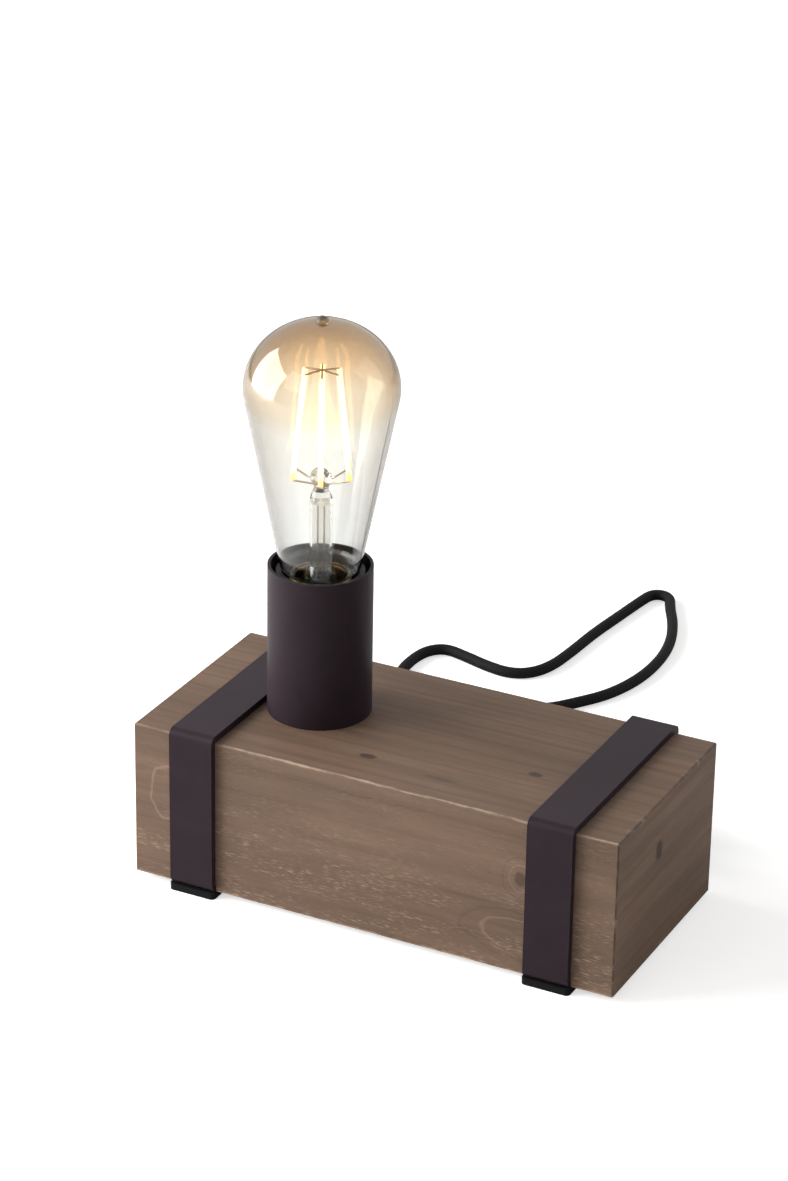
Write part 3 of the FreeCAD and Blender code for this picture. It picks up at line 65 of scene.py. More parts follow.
def colour(code):
    """An sRGB hex colour as the linear RGBA that a shader expects."""
    levels = [int(code[start:start + 2], 16) / 255 for start in (1, 3, 5)]
    return [v / 12.92 if v <= 0.04045 else ((v + 0.055) / 1.055) ** 2.4 for v in levels] + [1.0]


def finish_of(name, **values):
    """A new material whose Principled shader starts from the values of the real finish."""
    material = bpy.data.materials.new(name)
    material.use_nodes = True
    shader = material.node_tree.nodes["Principled BSDF"]
    for words, value in values.items():
        shader.inputs[words.replace("_", " ")].default_value = value
    return material, shader


def add(material, kind, stops=(), **settings):
    """Add one shader node to a material or to the world.

    A setting is an input's value or link (inputs) or a property of the node.
    """
    inputs = settings.pop("inputs", {})
    new = material.node_tree.nodes.new("ShaderNode" + kind)
    for words, value in settings.items():
        setattr(new, words, value)
    for words, value in inputs.items():
        if isinstance(value, bpy.types.NodeSocket):
            material.node_tree.links.new(value, new.inputs[words])
        else:
            new.inputs[words].default_value = value
    for index, (place, shade) in enumerate(stops):
        elements = new.color_ramp.elements
        element = elements[index] if index < 2 else elements.new(place)
        element.position = place
        element.color = colour(shade)
    return new


def link(material, output, socket):
    """Feed one socket of a material, or of the world, from another."""
    material.node_tree.links.new(output, socket)


def dress(material, *names):
    """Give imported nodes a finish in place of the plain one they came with."""
    for name in names:
        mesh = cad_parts[name].data
        mesh.materials.clear()
        mesh.materials.append(material)


def finished(name, mesh_maker, material, body="root", smooth=True):
    """Make an object from a bmesh in millimetres that is in place, and let it ride on a body."""
    bmesh.ops.scale(mesh_maker, verts=mesh_maker.verts, vec=(MM, MM, MM))
    mesh = bpy.data.meshes.new(name)
    mesh_maker.to_mesh(mesh)
    mesh_maker.free()
    for face in mesh.polygons:
        face.use_smooth = smooth
    mesh.materials.append(material)
    piece = bpy.data.objects.new(name, mesh)
    bpy.context.scene.collection.objects.link(piece)
    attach(piece, body)
    print(name, "faces:", len(mesh.polygons))
    return piece


# %% [markdown]
# ## The camera
# The photograph was taken with a long lens from the front right, about 25 degrees above
# the table. Its place and turn were fitted to the corners of the wooden box.

# %% Camera
CAMERA_PLACE = (0.61119, -1.25719, 0.78773)
CAMERA_ELEVATION = 24.96
CAMERA_AZIMUTH = 26.49
CAMERA_ROLL = 0.97
FOCAL_LENGTH = 115.57
SENSOR_WIDTH = 36.0

camera_data = bpy.data.cameras.new("camera")
camera_data.lens = FOCAL_LENGTH
camera_data.sensor_width = SENSOR_WIDTH
camera = bpy.data.objects.new("camera", camera_data)
bpy.context.scene.collection.objects.link(camera)
turn = Matrix.Rotation(math.radians(CAMERA_AZIMUTH), 4, "Z")
turn = turn @ Matrix.Rotation(math.radians(90.0 - CAMERA_ELEVATION), 4, "X")
turn = turn @ Matrix.Rotation(math.radians(CAMERA_ROLL), 4, "Z")
camera.matrix_world = Matrix.Translation(CAMERA_PLACE) @ turn
bpy.context.scene.camera = camera
print("camera looks along", tuple(round(v, 3) for v in turn @ Vector((0, 0, -1))))

# %% [markdown]
# ## The lead
# The lead is one smooth curve of its real length, about 1.83 m. The points of the free
# stretches were chosen to follow the photograph, and the spare length is wound
# close behind the box by a loop, sixteen points to a turn. The spline cuts inside its
# points, so the coil's points stand a little further out than its turns do.

# %% Route of the lead, in millimetres
CORD_RADIUS = 2.6
FLOOR_GAP = 0.05
# Height of the lead's middle line where it lies on the table.
FLOOR = CORD_RADIUS + FLOOR_GAP
SWITCH_MIDDLE = (-28.0, 120.0, 7.5)
RISE = SWITCH_MIDDLE[2]
LEAD_ROUTE = [
    (-62.0, 52.0, 20.0), (-62.0, 94.0, 20.0), (-79.5, 129.0, FLOOR), (-91.5, 151.0, FLOOR),
    (-97.6, 172.0, FLOOR), (-98.8, 187.0, FLOOR), (-96.8, 199.5, FLOOR), (-90.0, 206.0, FLOOR),
    (-79.0, 203.2, FLOOR), (-64.5, 198.3, FLOOR),
    (-52.0, 196.4, FLOOR), (-43.0, 201.5, FLOOR), (-37.8, 213.0, FLOOR), (-36.0, 231.0, FLOOR),
    (-35.0, 254.0, FLOOR), (-32.4, 276.0, FLOOR), (-30.0, 297.0, FLOOR), (-28.0, 310.5, FLOOR),
    (-19.0, 311.0, FLOOR), (-14.0, 299.0, FLOOR), (-6.0, 284.0, FLOOR), (1.5, 264.0, FLOOR),
    (5.0, 242.0, FLOOR), (4.0, 219.0, FLOOR), (-2.0, 198.0, FLOOR), (-12.0, 183.0, FLOOR),
    (-20.0, 170.0, 3.4), (-28.0, 157.0, RISE), (-28.0, 142.0, RISE),
]
FEED_ROUTE = [
    (-28.0, 97.0, RISE), (-28.0, 84.5, RISE), (-22.5, 73.5, 4.3), (-10.0, 66.0, 2.8),
    (6.8, 63.5, 3.5), (22.8, 63.5, 3.5),
]
TAIL_ROUTE = [
    (-8.558, 115.062, 9.2), (-11.5, 104.0, 12.0), (-7.5, 91.5, 15.0),
    (3.0, 83.0, 17.8), (9.0, 81.0, 19.1), (18.0, 81.0, 19.1),
]
COIL_MIDDLE = (28.0, 100.0)
COIL_RADIUS = 36.5
COIL_PITCH = 5.9
COIL_TURNS = 3.3125
COIL_BASE = 3.5
COIL_RISE = 5.7
POINTS_PER_TURN = 16
SOFT_TURN = 0.25
CLIMB_ANGLE = 180.0
START_ANGLE = -90.0


def coil_point(angle):
    """A point of the spare length, at an angle in degrees past the coil's start.

    The lead winds inwards for all the turns of the lower layer and outwards again in the
    upper one. Round that change, over a quarter of a turn on each side, it eases its way.
    """
    reverse = COIL_TURNS * 360.0
    inward = abs(angle - reverse) / 360.0
    if inward < SOFT_TURN:
        inward = (inward ** 2 / SOFT_TURN + SOFT_TURN) / 2
    radius = COIL_RADIUS - COIL_PITCH * (COIL_TURNS - inward)
    # Midway between two knots the spline is 1/8, 6/8 and 1/8 of three points.
    radius /= 0.25 * math.cos(2 * math.pi / POINTS_PER_TURN) + 0.75
    climb = min(1.0, max(0.0, (angle - reverse + CLIMB_ANGLE / 2) / CLIMB_ANGLE))
    height = COIL_BASE + COIL_RISE * climb * climb * (3.0 - 2.0 * climb)
    along = math.radians(angle + START_ANGLE)
    return (COIL_MIDDLE[0] + radius * math.cos(along), COIL_MIDDLE[1] + radius * math.sin(along),
            height)


coil_steps = round(2 * COIL_TURNS * POINTS_PER_TURN)
coil_angles = [720.0 * COIL_TURNS * step / coil_steps for step in range(coil_steps + 1)]
route = LEAD_ROUTE + FEED_ROUTE + [coil_point(angle) for angle in coil_angles] + TAIL_ROUTE
print("points of the lead:", len(route))

# %% [markdown]
# ### Its sheath
# A fine black braid covers the lead. The curve's own UV runs along the lead, so two
# families of sine waves that cross give the braid, with a pitch of 2.4 mm. That is
# coarser than a real yarn, which would be too fine to show. Textile has no gloss, so the
# black stays dull and only the crossings of the braid catch a little light.

# %% Braided sheath
LEAD_LENGTH = 1.826
BRAID_PITCH = 2.4 * MM
BRAID_STARTS = 8
BRAID_RELIEF = 0.2 * MM

braid, braid_shader = finish_of("black_textile_braid", Roughness=0.7,
                                Specular_IOR_Level=0.12)
braid_uv = add(braid, "TexCoord").outputs["UV"]
parts_of_uv = add(braid, "SeparateXYZ", inputs={"Vector": braid_uv})
along_lead = add(braid, "Math", operation="MULTIPLY", inputs={
    0: parts_of_uv.outputs["X"], 1: 2 * math.pi * LEAD_LENGTH / BRAID_PITCH})
round_lead = add(braid, "Math", operation="MULTIPLY", inputs={
    0: parts_of_uv.outputs["Y"], 1: 2 * math.pi * BRAID_STARTS})
crossing = []
for operation in ("ADD", "SUBTRACT"):
    lean = add(braid, "Math", operation=operation, inputs={
        0: along_lead.outputs[0], 1: round_lead.outputs[0]})
    crossing.append(add(braid, "Math", operation="SINE", inputs={0: lean.outputs[0]}))
weave = add(braid, "Math", operation="MULTIPLY", inputs={
    0: crossing[0].outputs[0], 1: crossing[1].outputs[0]})
raised = add(braid, "MapRange", inputs={
    "Value": weave.outputs[0], "From Min": -1.0, "From Max": 1.0})
weave_tone = add(braid, "ValToRGB", inputs={"Fac": raised.outputs[0]},
                 stops=[(0.0, "#050506"), (1.0, "#1C1B1E")])
link(braid, weave_tone.outputs["Color"], braid_shader.inputs["Base Color"])
weave_bump = add(braid, "Bump", inputs={
    "Height": raised.outputs[0], "Distance": BRAID_RELIEF, "Strength": 0.5})
link(braid, weave_bump.outputs["Normal"], braid_shader.inputs["Normal"])
print("sheath:", len(braid.node_tree.nodes), "shader nodes")

# %% [markdown]
# ### The curve
# A spline with a round bevel is the plainest way to lay a cord: it stays one unbroken
# tube of one thickness, and a bend is changed by moving a point. Its order of 3 keeps each
# bend close to its points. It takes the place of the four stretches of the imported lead.

# %% The lead as one curve
lead_data = bpy.data.curves.new("lead", "CURVE")
lead_data.dimensions = "3D"
lead_data.resolution_u = 8
lead_data.bevel_depth = CORD_RADIUS * MM
lead_data.bevel_resolution = 5
lead_data.use_fill_caps = True
spline = lead_data.splines.new("NURBS")
spline.points.add(len(route) - 1)
for point, spot in zip(spline.points, route):
    point.co = (*mm(*spot), 1.0)
spline.order_u = 3
spline.use_endpoint_u = True
lead_data.materials.append(braid)
lead = bpy.data.objects.new("lead", lead_data)
bpy.context.scene.collection.objects.link(lead)
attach(lead, "root")
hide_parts("cord_run", "cord_feed", "cord_coil", "cord_tail")
print("lead:", len(spline.points), "spline points")

# %% [markdown]
# ## Light and background
# The photograph has a white background and soft light from the left. Two softboxes stand
# where the glass shows their reflections, a strong one at the left and a faint one at the
# right, and a third fills the front. The world is white to the camera, to gloss and
# through glass, and dimmer as a light. The floor is pale and keeps the lamp's shadow. What
# the camera sees of it also glows, which brings it up to the photograph's white.

# %% World and softboxes
LAMP_MIDDLE = mm(-20.0, 0.0, 110.0)
WORLD_LIGHT = 0.24
WHITE = (1.0, 1.0, 1.0, 1.0)
FLOOR_REACH = 6.0
FLOOR_GLOW = 0.6


def softbox(name, direction, distance, width, height, power):
    """A rectangular studio light that looks at the lamp from a direction, in metres and watts."""
    data = bpy.data.lights.new(name, "AREA")
    data.shape = "RECTANGLE"
    data.size = width
    data.size_y = height
    data.energy = power
    light = bpy.data.objects.new(name, data)
    bpy.context.scene.collection.objects.link(light)
    heading = Vector(direction).normalized()
    light.location = LAMP_MIDDLE + heading * distance
    light.rotation_euler = heading.to_track_quat("Z", "Y").to_euler()
    print(name, "shines", power, "W from", tuple(round(v, 2) for v in light.location))


softbox("left_softbox", direction=(-0.91, -0.33, 0.34), distance=1.5, width=1.5, height=1.3,
        power=50.0)
softbox("right_softbox", direction=(0.80, 0.43, 0.42), distance=1.5, width=0.9, height=1.3,
        power=3.0)
softbox("front_fill", direction=(-0.35, -1.0, 0.75), distance=2.4, width=1.2, height=1.2,
        power=7.0)

world = bpy.data.worlds.new("pale_studio")
bpy.context.scene.world = world
world.use_nodes = True
rays = add(world, "LightPath").outputs
seen = add(world, "Math", operation="MAXIMUM", inputs={
    0: rays["Is Camera Ray"], 1: rays["Is Transmission Ray"]})
seen_all = add(world, "Math", operation="MAXIMUM", inputs={
    0: seen.outputs[0], 1: rays["Is Glossy Ray"]})
level = add(world, "MapRange", inputs={
    "Value": seen_all.outputs[0], "To Min": WORLD_LIGHT, "To Max": 1.0})
backdrop_light = world.node_tree.nodes["Background"]
backdrop_light.inputs["Color"].default_value = WHITE
link(world, level.outputs[0], backdrop_light.inputs["Strength"])

# %% The floor
floor_maker = bmesh.new()
bmesh.ops.create_grid(floor_maker, x_segments=1, y_segments=1, size=FLOOR_REACH)
pale_floor, floor_shader = finish_of("pale_studio_floor", Base_Color=colour("#F2F1EF"),
                                     Roughness=0.9, Emission_Color=WHITE)
floor_rays = add(pale_floor, "LightPath").outputs
floor_seen = add(pale_floor, "Math", operation="MAXIMUM", inputs={
    0: floor_rays["Is Camera Ray"], 1: floor_rays["Is Transmission Ray"]})
floor_glow = add(pale_floor, "Math", operation="MULTIPLY", inputs={
    0: floor_seen.outputs[0], 1: FLOOR_GLOW})
link(pale_floor, floor_glow.outputs[0], floor_shader.inputs["Emission Strength"])
floor_mesh = bpy.data.meshes.new("floor")
floor_maker.to_mesh(floor_mesh)
floor_maker.free()
floor_mesh.materials.append(pale_floor)
floor = bpy.data.objects.new("floor", floor_mesh)
bpy.context.scene.collection.objects.link(floor)
print("floor:", 2 * FLOOR_REACH, "m wide")

# %% [markdown]
# ## Stained softwood
# The boards are pine or fir, brushed, stained brown and sanded back. The eye sees a
# dull brown with long soft streaks, fine dark fibres, pale rubbed flecks low on the
# front, a few small knots, a pale line along the long arrises, partly rubbed wear and
# partly a painted highlight of their slight rounding, and a dark ragged line where two
# boards meet. All of it is worked out from Object coordinates, with the grain turned
# along each board, so that the pattern has its real size.

# %% The wood finish
BOX_HALF = (110.0, 50.0, 34.75)
PAD_HEIGHT = 3.0
BOX_MIDDLE_HEIGHT = PAD_HEIGHT + BOX_HALF[2]
GRAIN_TURN = {"x": 0.0, "y": math.radians(90.0)}
# Stretch of the late wood's bands: few along the grain, and many across it.
LATE_WOOD = (3.0, 34.0, 34.0)
FADE_ABOVE = 14.0
FADE_BELOW = 10.0
FLECKS_HIGH_UP = 0.28
GROOVE_DEPTH = 0.12 * MM
# Noise that makes an edge ragged is given by its blots to a metre.
KNOT_BLOTS = 420.0
ARC_BLOTS = 90.0
EDGE_BLOTS = 260.0
GAP_BLOTS = 170.0
CHIP_BLOTS = 120.0
# Brings what lies within 2.5 radii of a spot into a colour ramp's reach.
SPOT_SCALE = 0.4


def stained_wood(name, grain, shift, knots=(), arcs=(), pale_below=None):
    """Brown stained softwood with its grain along x or y.

    shift moves the pattern, so that no two boards match. Each knot is (middle in mm,
    radii in mm, colour), and each arc is a fine ring line with the same values. pale_below
    is the height in mm under which pale flecks gather.
    """
    wood, shader = finish_of(name, Roughness=0.62)
    here = add(wood, "TexCoord").outputs["Object"]
    board = add(wood, "Mapping", inputs={"Vector": here, "Location": shift,
                                         "Rotation": (0.0, 0.0, GRAIN_TURN[grain])})

    def noise(length, width, detail=4.0, roughness=0.55, distortion=0.0):
        """Noise whose blots are length mm along the grain and width mm across it."""
        stretched = add(wood, "Mapping", inputs={
            "Vector": board.outputs[0],
            "Scale": (1 / (length * MM), 1 / (width * MM), 1 / (width * MM))})
        return add(wood, "TexNoise", inputs={
            "Vector": stretched.outputs[0], "Scale": 1.0, "Detail": detail,
            "Roughness": roughness, "Distortion": distortion}).outputs["Fac"]

    def mixed(kind, amount, first, second):
        """Blend two colours or numbers."""
        return add(wood, "MixRGB", blend_type=kind, inputs={
            "Fac": amount, "Color1": first, "Color2": second}).outputs["Color"]

    def ramped(value, *stops):
        """Colours or greys for the rising values of one number."""
        return add(wood, "ValToRGB", inputs={"Fac": value}, stops=stops).outputs["Color"]

    def laid(mask, strength, under, shade):
        """Lay a shade over a tone where a mask is light, as strongly as a grey says."""
        return mixed("MIX", mixed("MULTIPLY", 1.0, mask, colour(strength)), under, colour(shade))

    def ragged(blots, detail):
        """Noise in place, the same on every board that it crosses."""
        return add(wood, "TexNoise", inputs={
            "Vector": here, "Scale": blots, "Detail": detail}).outputs["Fac"]

    def from_spot(middle, radii, blots, raggedness):
        """How far a point lies from a spot, in shares of its radii, with a ragged outline."""
        moved = add(wood, "VectorMath", operation="SUBTRACT", inputs={0: here, 1: mm(*middle)})
        scaled = add(wood, "VectorMath", operation="DIVIDE", inputs={
            0: moved.outputs[0], 1: mm(*radii)})
        distance = add(wood, "VectorMath", operation="LENGTH", inputs={0: scaled.outputs[0]})
        uneven = add(wood, "Math", operation="MULTIPLY_ADD", inputs={
            0: ragged(blots, 2.0), 1: raggedness, 2: distance.outputs["Value"]})
        return add(wood, "Math", operation="MULTIPLY", inputs={
            0: uneven.outputs[0], 1: SPOT_SCALE}).outputs[0]

    tone = ramped(noise(90.0, 16.0, 3.0), (0.32, "#67513F"), (0.7, "#7F6451"))
    streak = ramped(noise(140.0, 3.4, 5.0, 0.6, 0.6), (0.46, "#000000"), (0.66, "#FFFFFF"))
    tone = laid(streak, "#A8A8A8", tone, "#4E3A2B")
    mottle = ramped(noise(1.6, 0.8, 3.0, 0.7), (0.40, "#FFFFFF"), (0.60, "#000000"))
    tone = laid(mottle, "#6A6A6A", tone, "#5A4535")
    rings = add(wood, "TexWave", wave_type="BANDS", bands_direction="Y", inputs={
        "Vector": add(wood, "Mapping", inputs={
            "Vector": board.outputs[0], "Scale": LATE_WOOD}).outputs[0],
        "Scale": 1.0, "Distortion": 5.5, "Detail": 2.5, "Detail Scale": 0.9})
    late = ramped(rings.outputs["Fac"], (0.78, "#000000"), (0.98, "#FFFFFF"))
    tone = laid(late, "#848484", tone, "#483424")
    fibre = noise(9.0, 0.45, 3.0, 0.7)
    dark_fibre = ramped(fibre, (0.30, "#FFFFFF"), (0.46, "#000000"))
    tone = laid(dark_fibre, "#A8A8A8", tone, "#54412F")
    pale = ramped(noise(4.2, 0.42, 2.0, 0.6), (0.55, "#000000"), (0.68, "#FFFFFF"))
    patches = ramped(noise(34.0, 7.0, 2.0), (0.38, "#000000"), (0.60, "#FFFFFF"))
    pale = mixed("MULTIPLY", 1.0, pale, patches)
    height = add(wood, "SeparateXYZ", inputs={"Vector": here}).outputs["Z"]
    if pale_below:
        low = add(wood, "MapRange", inputs={
            "Value": height, "From Min": (pale_below + FADE_ABOVE) * MM,
            "From Max": (pale_below - FADE_BELOW) * MM, "To Min": FLECKS_HIGH_UP, "To Max": 1.0})
        pale = mixed("MULTIPLY", 1.0, pale, low.outputs[0])
    else:
        pale = mixed("MULTIPLY", 1.0, pale, colour("#606060"))
    tone = laid(pale, "#DADADA", tone, "#B39A83")
    specks = ramped(noise(1.3, 0.6, 1.0, 0.5), (0.70, "#000000"), (0.76, "#FFFFFF"))
    tone = laid(specks, "#8C8C8C", tone, "#40301F")
    for middle, radii, shade in knots:
        knot = ramped(from_spot(middle, radii, KNOT_BLOTS, 0.7),
                      (0.44, "#F0F0F0"), (0.58, "#303030"), (0.9, "#000000"))
        tone = mixed("MIX", knot, tone, colour(shade))
    for middle, radii, shade in arcs:
        line = ramped(from_spot(middle, radii, ARC_BLOTS, 0.5),
                      (0.47, "#000000"), (0.5, "#A0A0A0"), (0.53, "#000000"))
        tone = mixed("MIX", line, tone, colour(shade))

    # How near a point lies to an edge of the box: the middle one of its three depths.
    place = add(wood, "VectorMath", operation="SUBTRACT", inputs={
        0: here, 1: mm(0.0, 0.0, BOX_MIDDLE_HEIGHT)})
    outward = add(wood, "VectorMath", operation="ABSOLUTE", inputs={0: place.outputs[0]})
    depth = add(wood, "VectorMath", operation="SUBTRACT", inputs={
        0: mm(*BOX_HALF), 1: outward.outputs[0]})
    deep = add(wood, "SeparateXYZ", inputs={"Vector": depth.outputs[0]}).outputs
    wobble = ragged(EDGE_BLOTS, 3.0)

    def rim(first, second, reach):
        """1 at the edge where two depths end, 0 a ragged reach in mm away from it."""
        far = add(wood, "Math", operation="MAXIMUM", inputs={0: deep[first], 1: deep[second]})
        uneven = add(wood, "Math", operation="MULTIPLY", inputs={
            0: wobble, 1: 2.0 * reach * MM})
        return add(wood, "MapRange", inputs={
            "Value": far.outputs[0], "From Min": uneven.outputs[0], "From Max": 0.0}).outputs[0]

    # Painted highlight: a pale ragged line along the long arrises stands in for the gleam of
    # their slight rounding, and partly for rubbed wear.
    arris_wear_and_highlight = mixed("MULTIPLY", 1.0, rim("Y", "Z", 1.1), ramped(
        noise(16.0, 16.0, 4.0), (0.40, "#202020"), (0.6, "#FFFFFF")))
    tone = mixed("MIX", arris_wear_and_highlight, tone, colour("#B79F8A"))
    joint = mixed("LIGHTEN", 1.0, rim("X", "Z", 0.9), rim("X", "Y", 0.9))
    joint = mixed("MULTIPLY", 1.0, joint, ramped(
        ragged(GAP_BLOTS, 3.0), (0.38, "#202020"), (0.52, "#FFFFFF")))
    tone = mixed("MIX", joint, tone, colour("#2C2018"))
    chips = mixed("MULTIPLY", 1.0, mixed("LIGHTEN", 1.0, rim("X", "Z", 2.4), rim("X", "Y", 1.6)),
                  ramped(ragged(CHIP_BLOTS, 2.0), (0.62, "#000000"), (0.68, "#FFFFFF")))
    tone = laid(chips, "#B0B0B0", tone, "#B49C87")
    link(wood, tone, shader.inputs["Base Color"])
    dull = add(wood, "MapRange", inputs={"Value": fibre, "To Min": 0.5, "To Max": 0.78})
    link(wood, dull.outputs[0], shader.inputs["Roughness"])
    grooves = add(wood, "Bump", inputs={
        "Height": fibre, "Distance": GROOVE_DEPTH, "Strength": 0.7})
    link(wood, grooves.outputs["Normal"], shader.inputs["Normal"])
    return wood


# %% [markdown]
# ### Five boards from one finish
# Each board gets a material of its own, because its grain starts at another place and it
# has its own knots. Those of the top, front and right end lie about where the photograph
# shows them, and the rest are made up.

# %% The five boards
top_wood = stained_wood("stained_softwood_top", "x", (0.0, 0.0, 0.0), knots=[
    ((-11.0, -30.0, 72.5), (4.2, 2.0, 3.0), "#2E1B10"),
    ((56.0, -12.0, 72.5), (3.2, 1.9, 3.0), "#2E1B10"),
    ((24.0, -34.0, 72.5), (8.0, 1.5, 3.0), "#54402F"),
])
front_wood = stained_wood("stained_softwood_front", "x", (0.37, 0.11, 0.05), knots=[
    ((68.0, -50.0, 46.0), (2.6, 3.0, 3.4), "#4C3828"),
], arcs=[
    ((68.0, -50.0, 46.0), (4.6, 4.0, 6.0), "#A08770"),
    ((68.0, -50.0, 46.0), (7.5, 4.0, 9.5), "#4C3828"),
    ((-92.5, -50.0, 44.0), (9.5, 4.0, 13.0), "#AD957E"),
    ((66.0, -50.0, 20.0), (16.0, 4.0, 7.0), "#9C8470"),
    ((66.0, -50.0, 20.0), (24.0, 4.0, 11.0), "#4C3828"),
], pale_below=34.0)
back_wood = stained_wood("stained_softwood_back", "x", (0.71, 0.43, 0.22), knots=[
    ((-15.0, 50.0, 40.0), (4.0, 3.0, 3.0), "#4A2F20"),
], arcs=[
    ((-15.0, 50.0, 40.0), (8.0, 4.0, 6.0), "#4C3828"),
    ((-15.0, 50.0, 40.0), (12.0, 4.0, 9.0), "#9C8470"),
], pale_below=24.0)
left_wood = stained_wood("stained_softwood_left_end", "y", (0.17, 0.83, 0.61), knots=[
    ((-110.0, 22.0, 28.0), (3.0, 3.0, 3.4), "#3A2619"),
])
right_wood = stained_wood("stained_softwood_right_end", "y", (0.53, 0.29, 0.9), knots=[
    ((110.0, -8.0, 50.0), (3.0, 3.4, 4.6), "#241409"),
])
dress(top_wood, "board_top")
dress(front_wood, "board_front")
dress(back_wood, "board_back")
dress(left_wood, "board_left_end")
dress(right_wood, "board_right_end")
print("boards dressed")

# %% [markdown]
# ## Plain finishes of the smaller parts
# Each of these is one real finish: what it is made of sets its metallic, roughness and
# IOR, and a little noise of a real size keeps it from being a flat colour.

# %% A finish with fine grain
BROAD_GRAIN = 24
GLOSS_SPREAD = 0.06


def grained(name, code, roughness, grain, depth, spread=0.08, **values):
    """A finish whose tone, gloss and surface vary with noise of a real grain size in mm."""
    material, shader = finish_of(name, Roughness=roughness, **values)
    here = add(material, "TexCoord").outputs["Object"]
    fine = add(material, "TexNoise", inputs={
        "Vector": here, "Scale": 1 / (grain * MM), "Detail": 2.0})
    broad = add(material, "TexNoise", inputs={
        "Vector": here, "Scale": 1 / (BROAD_GRAIN * grain * MM), "Detail": 2.0})
    base = colour(code)
    low = add(material, "MixRGB", inputs={
        "Fac": broad.outputs["Fac"],
        "Color1": [v * (1 - 2 * spread) for v in base[:3]] + [1.0],
        "Color2": [v * (1 + 2 * spread) for v in base[:3]] + [1.0]})
    link(material, low.outputs["Color"], shader.inputs["Base Color"])
    gloss = add(material, "MapRange", inputs={
        "Value": fine.outputs["Fac"], "To Min": roughness - GLOSS_SPREAD,
        "To Max": roughness + GLOSS_SPREAD})
    link(material, gloss.outputs[0], shader.inputs["Roughness"])
    bump = add(material, "Bump", inputs={
        "Height": fine.outputs["Fac"], "Distance": depth * MM, "Strength": 0.6})
    link(material, bump.outputs["Normal"], shader.inputs["Normal"])
    return material


# %% [markdown]
# ### Metals, plastics, rubber and ceramic
# Powder coat melts to an even satin skin, so the black steel has soft dull lights. Zinc
# plate is a cool grey, rolled brass and drawn nickel gleam, and the solder is dull. The
# moulded plastics take their gloss from the mould, which is eroded on the plug and
# polished on the switch. Rubber hardly shines at all.

# %% Metals
powder_black = grained("satin_black_powder_coat", "#2E242A", 0.42, 0.5, 0.02,
                       Specular_IOR_Level=0.1)
zinc = grained("zinc_plated_steel", "#B9B9B4", 0.35, 0.8, 0.01, Metallic=1.0)
brass = grained("rolled_brass", "#C9A25A", 0.22, 1.0, 0.01, Metallic=1.0)
# The cap is brass, painted paler and less metallic than the rolled brass: painted brightness for
# a cap that sees little light deep in the holder.
cap_brass_painted_brighter = grained("brass_cap_painted_brighter", "#F2CE86", 0.28, 1.0, 0.01, Metallic=0.7)
solder = grained("dull_solder", "#B4B4B6", 0.45, 0.6, 0.03, Metallic=1.0)
nickel_wire = grained("drawn_nickel_wire", "#B7AFA0", 0.25, 0.4, 0.005, Metallic=1.0)
nickel_pin = grained("nickel_plated_brass", "#C4C1B8", 0.18, 0.8, 0.005, Metallic=1.0)
copper = grained("stranded_copper", "#C07A4A", 0.3, 0.3, 0.03, Metallic=1.0)

# %% Ceramic, plastics, rubber and bare wood
steatite = grained("pressed_steatite", "#D9D4C8", 0.35, 0.4, 0.02)
vitrite = grained("black_vitrite", "#0C0C0E", 0.12, 1.0, 0.01)
nylon = grained("natural_nylon", "#DBD8C8", 0.45, 0.6, 0.01)
board_green = grained("fibreglass_board", "#24543A", 0.4, 0.5, 0.01)
brown_pvc = grained("brown_extruded_pvc", "#5A2F18", 0.4, 0.8, 0.01)
blue_pvc = grained("blue_extruded_pvc", "#27529B", 0.4, 0.8, 0.01)
rubber = grained("matt_black_rubber", "#0F0F10", 0.75, 0.4, 0.04, Specular_IOR_Level=0.15)
moulded_black = grained("spark_eroded_black_pvc", "#141415", 0.5, 0.35, 0.03,
                        Specular_IOR_Level=0.3)
switch_black = grained("gloss_black_abs", "#121213", 0.28, 0.5, 0.01, Specular_IOR_Level=0.4)
plain_wood = stained_wood("plain_planed_softwood", "x", (0.9, 0.6, 0.3))

# %% Dress the smaller parts
dress(powder_black, "strap_left", "strap_right", "socket_cover")
dress(zinc, "strap_screws", "panel_screws", "mounting_nipple", "nipple_washer", "nipple_nut",
      "cover_lock_nut", "holder_terminal_screws", "terminal_screws", "switch_screws",
      "rocker_pivot")
dress(brass, "holder_screw_shell", "holder_centre_contact", "holder_terminals",
      "terminal_barrels", "switch_contacts")
dress(cap_brass_painted_brighter, "bulb_cap")
dress(solder, "bulb_centre_contact")
dress(nickel_wire, "filament_supports", "bulb_leads")
dress(nickel_pin, "plug_pins")
dress(copper, "inner_cord_cores")
dress(steatite, "holder_insert")
dress(vitrite, "bulb_insulator")
dress(nylon, "terminal_block")
dress(board_green, "driver_board")
dress(brown_pvc, "wire_live")
dress(blue_pvc, "wire_neutral")
dress(rubber, "foot_pads")
dress(moulded_black, "holder_base", "holder_sleeve", "cord_bush", "bush_nut", "plug_body",
      "plug_pin_sleeves", "inner_cord")
dress(switch_black, "switch_lower_case", "switch_upper_case", "switch_rocker")
dress(plain_wood, "panel_cleats", "bottom_panel")
print("finishes so far:", len(bpy.data.materials))

# %% [markdown]
# ## The bulb
# The envelope is clear soda glass, whose dome has a faint amber tint that fades below
# the widest line. Glass turned away from the eye looks darker and browner, which Layer
# Weight gives. Six sticks of phosphor glow almost white, and orange at their feet.

# %% Glass
TINT_FROM = 140.0
TINT_TO = 248.0
TIP_FROM = 244.6
TIP_TO = 245.6

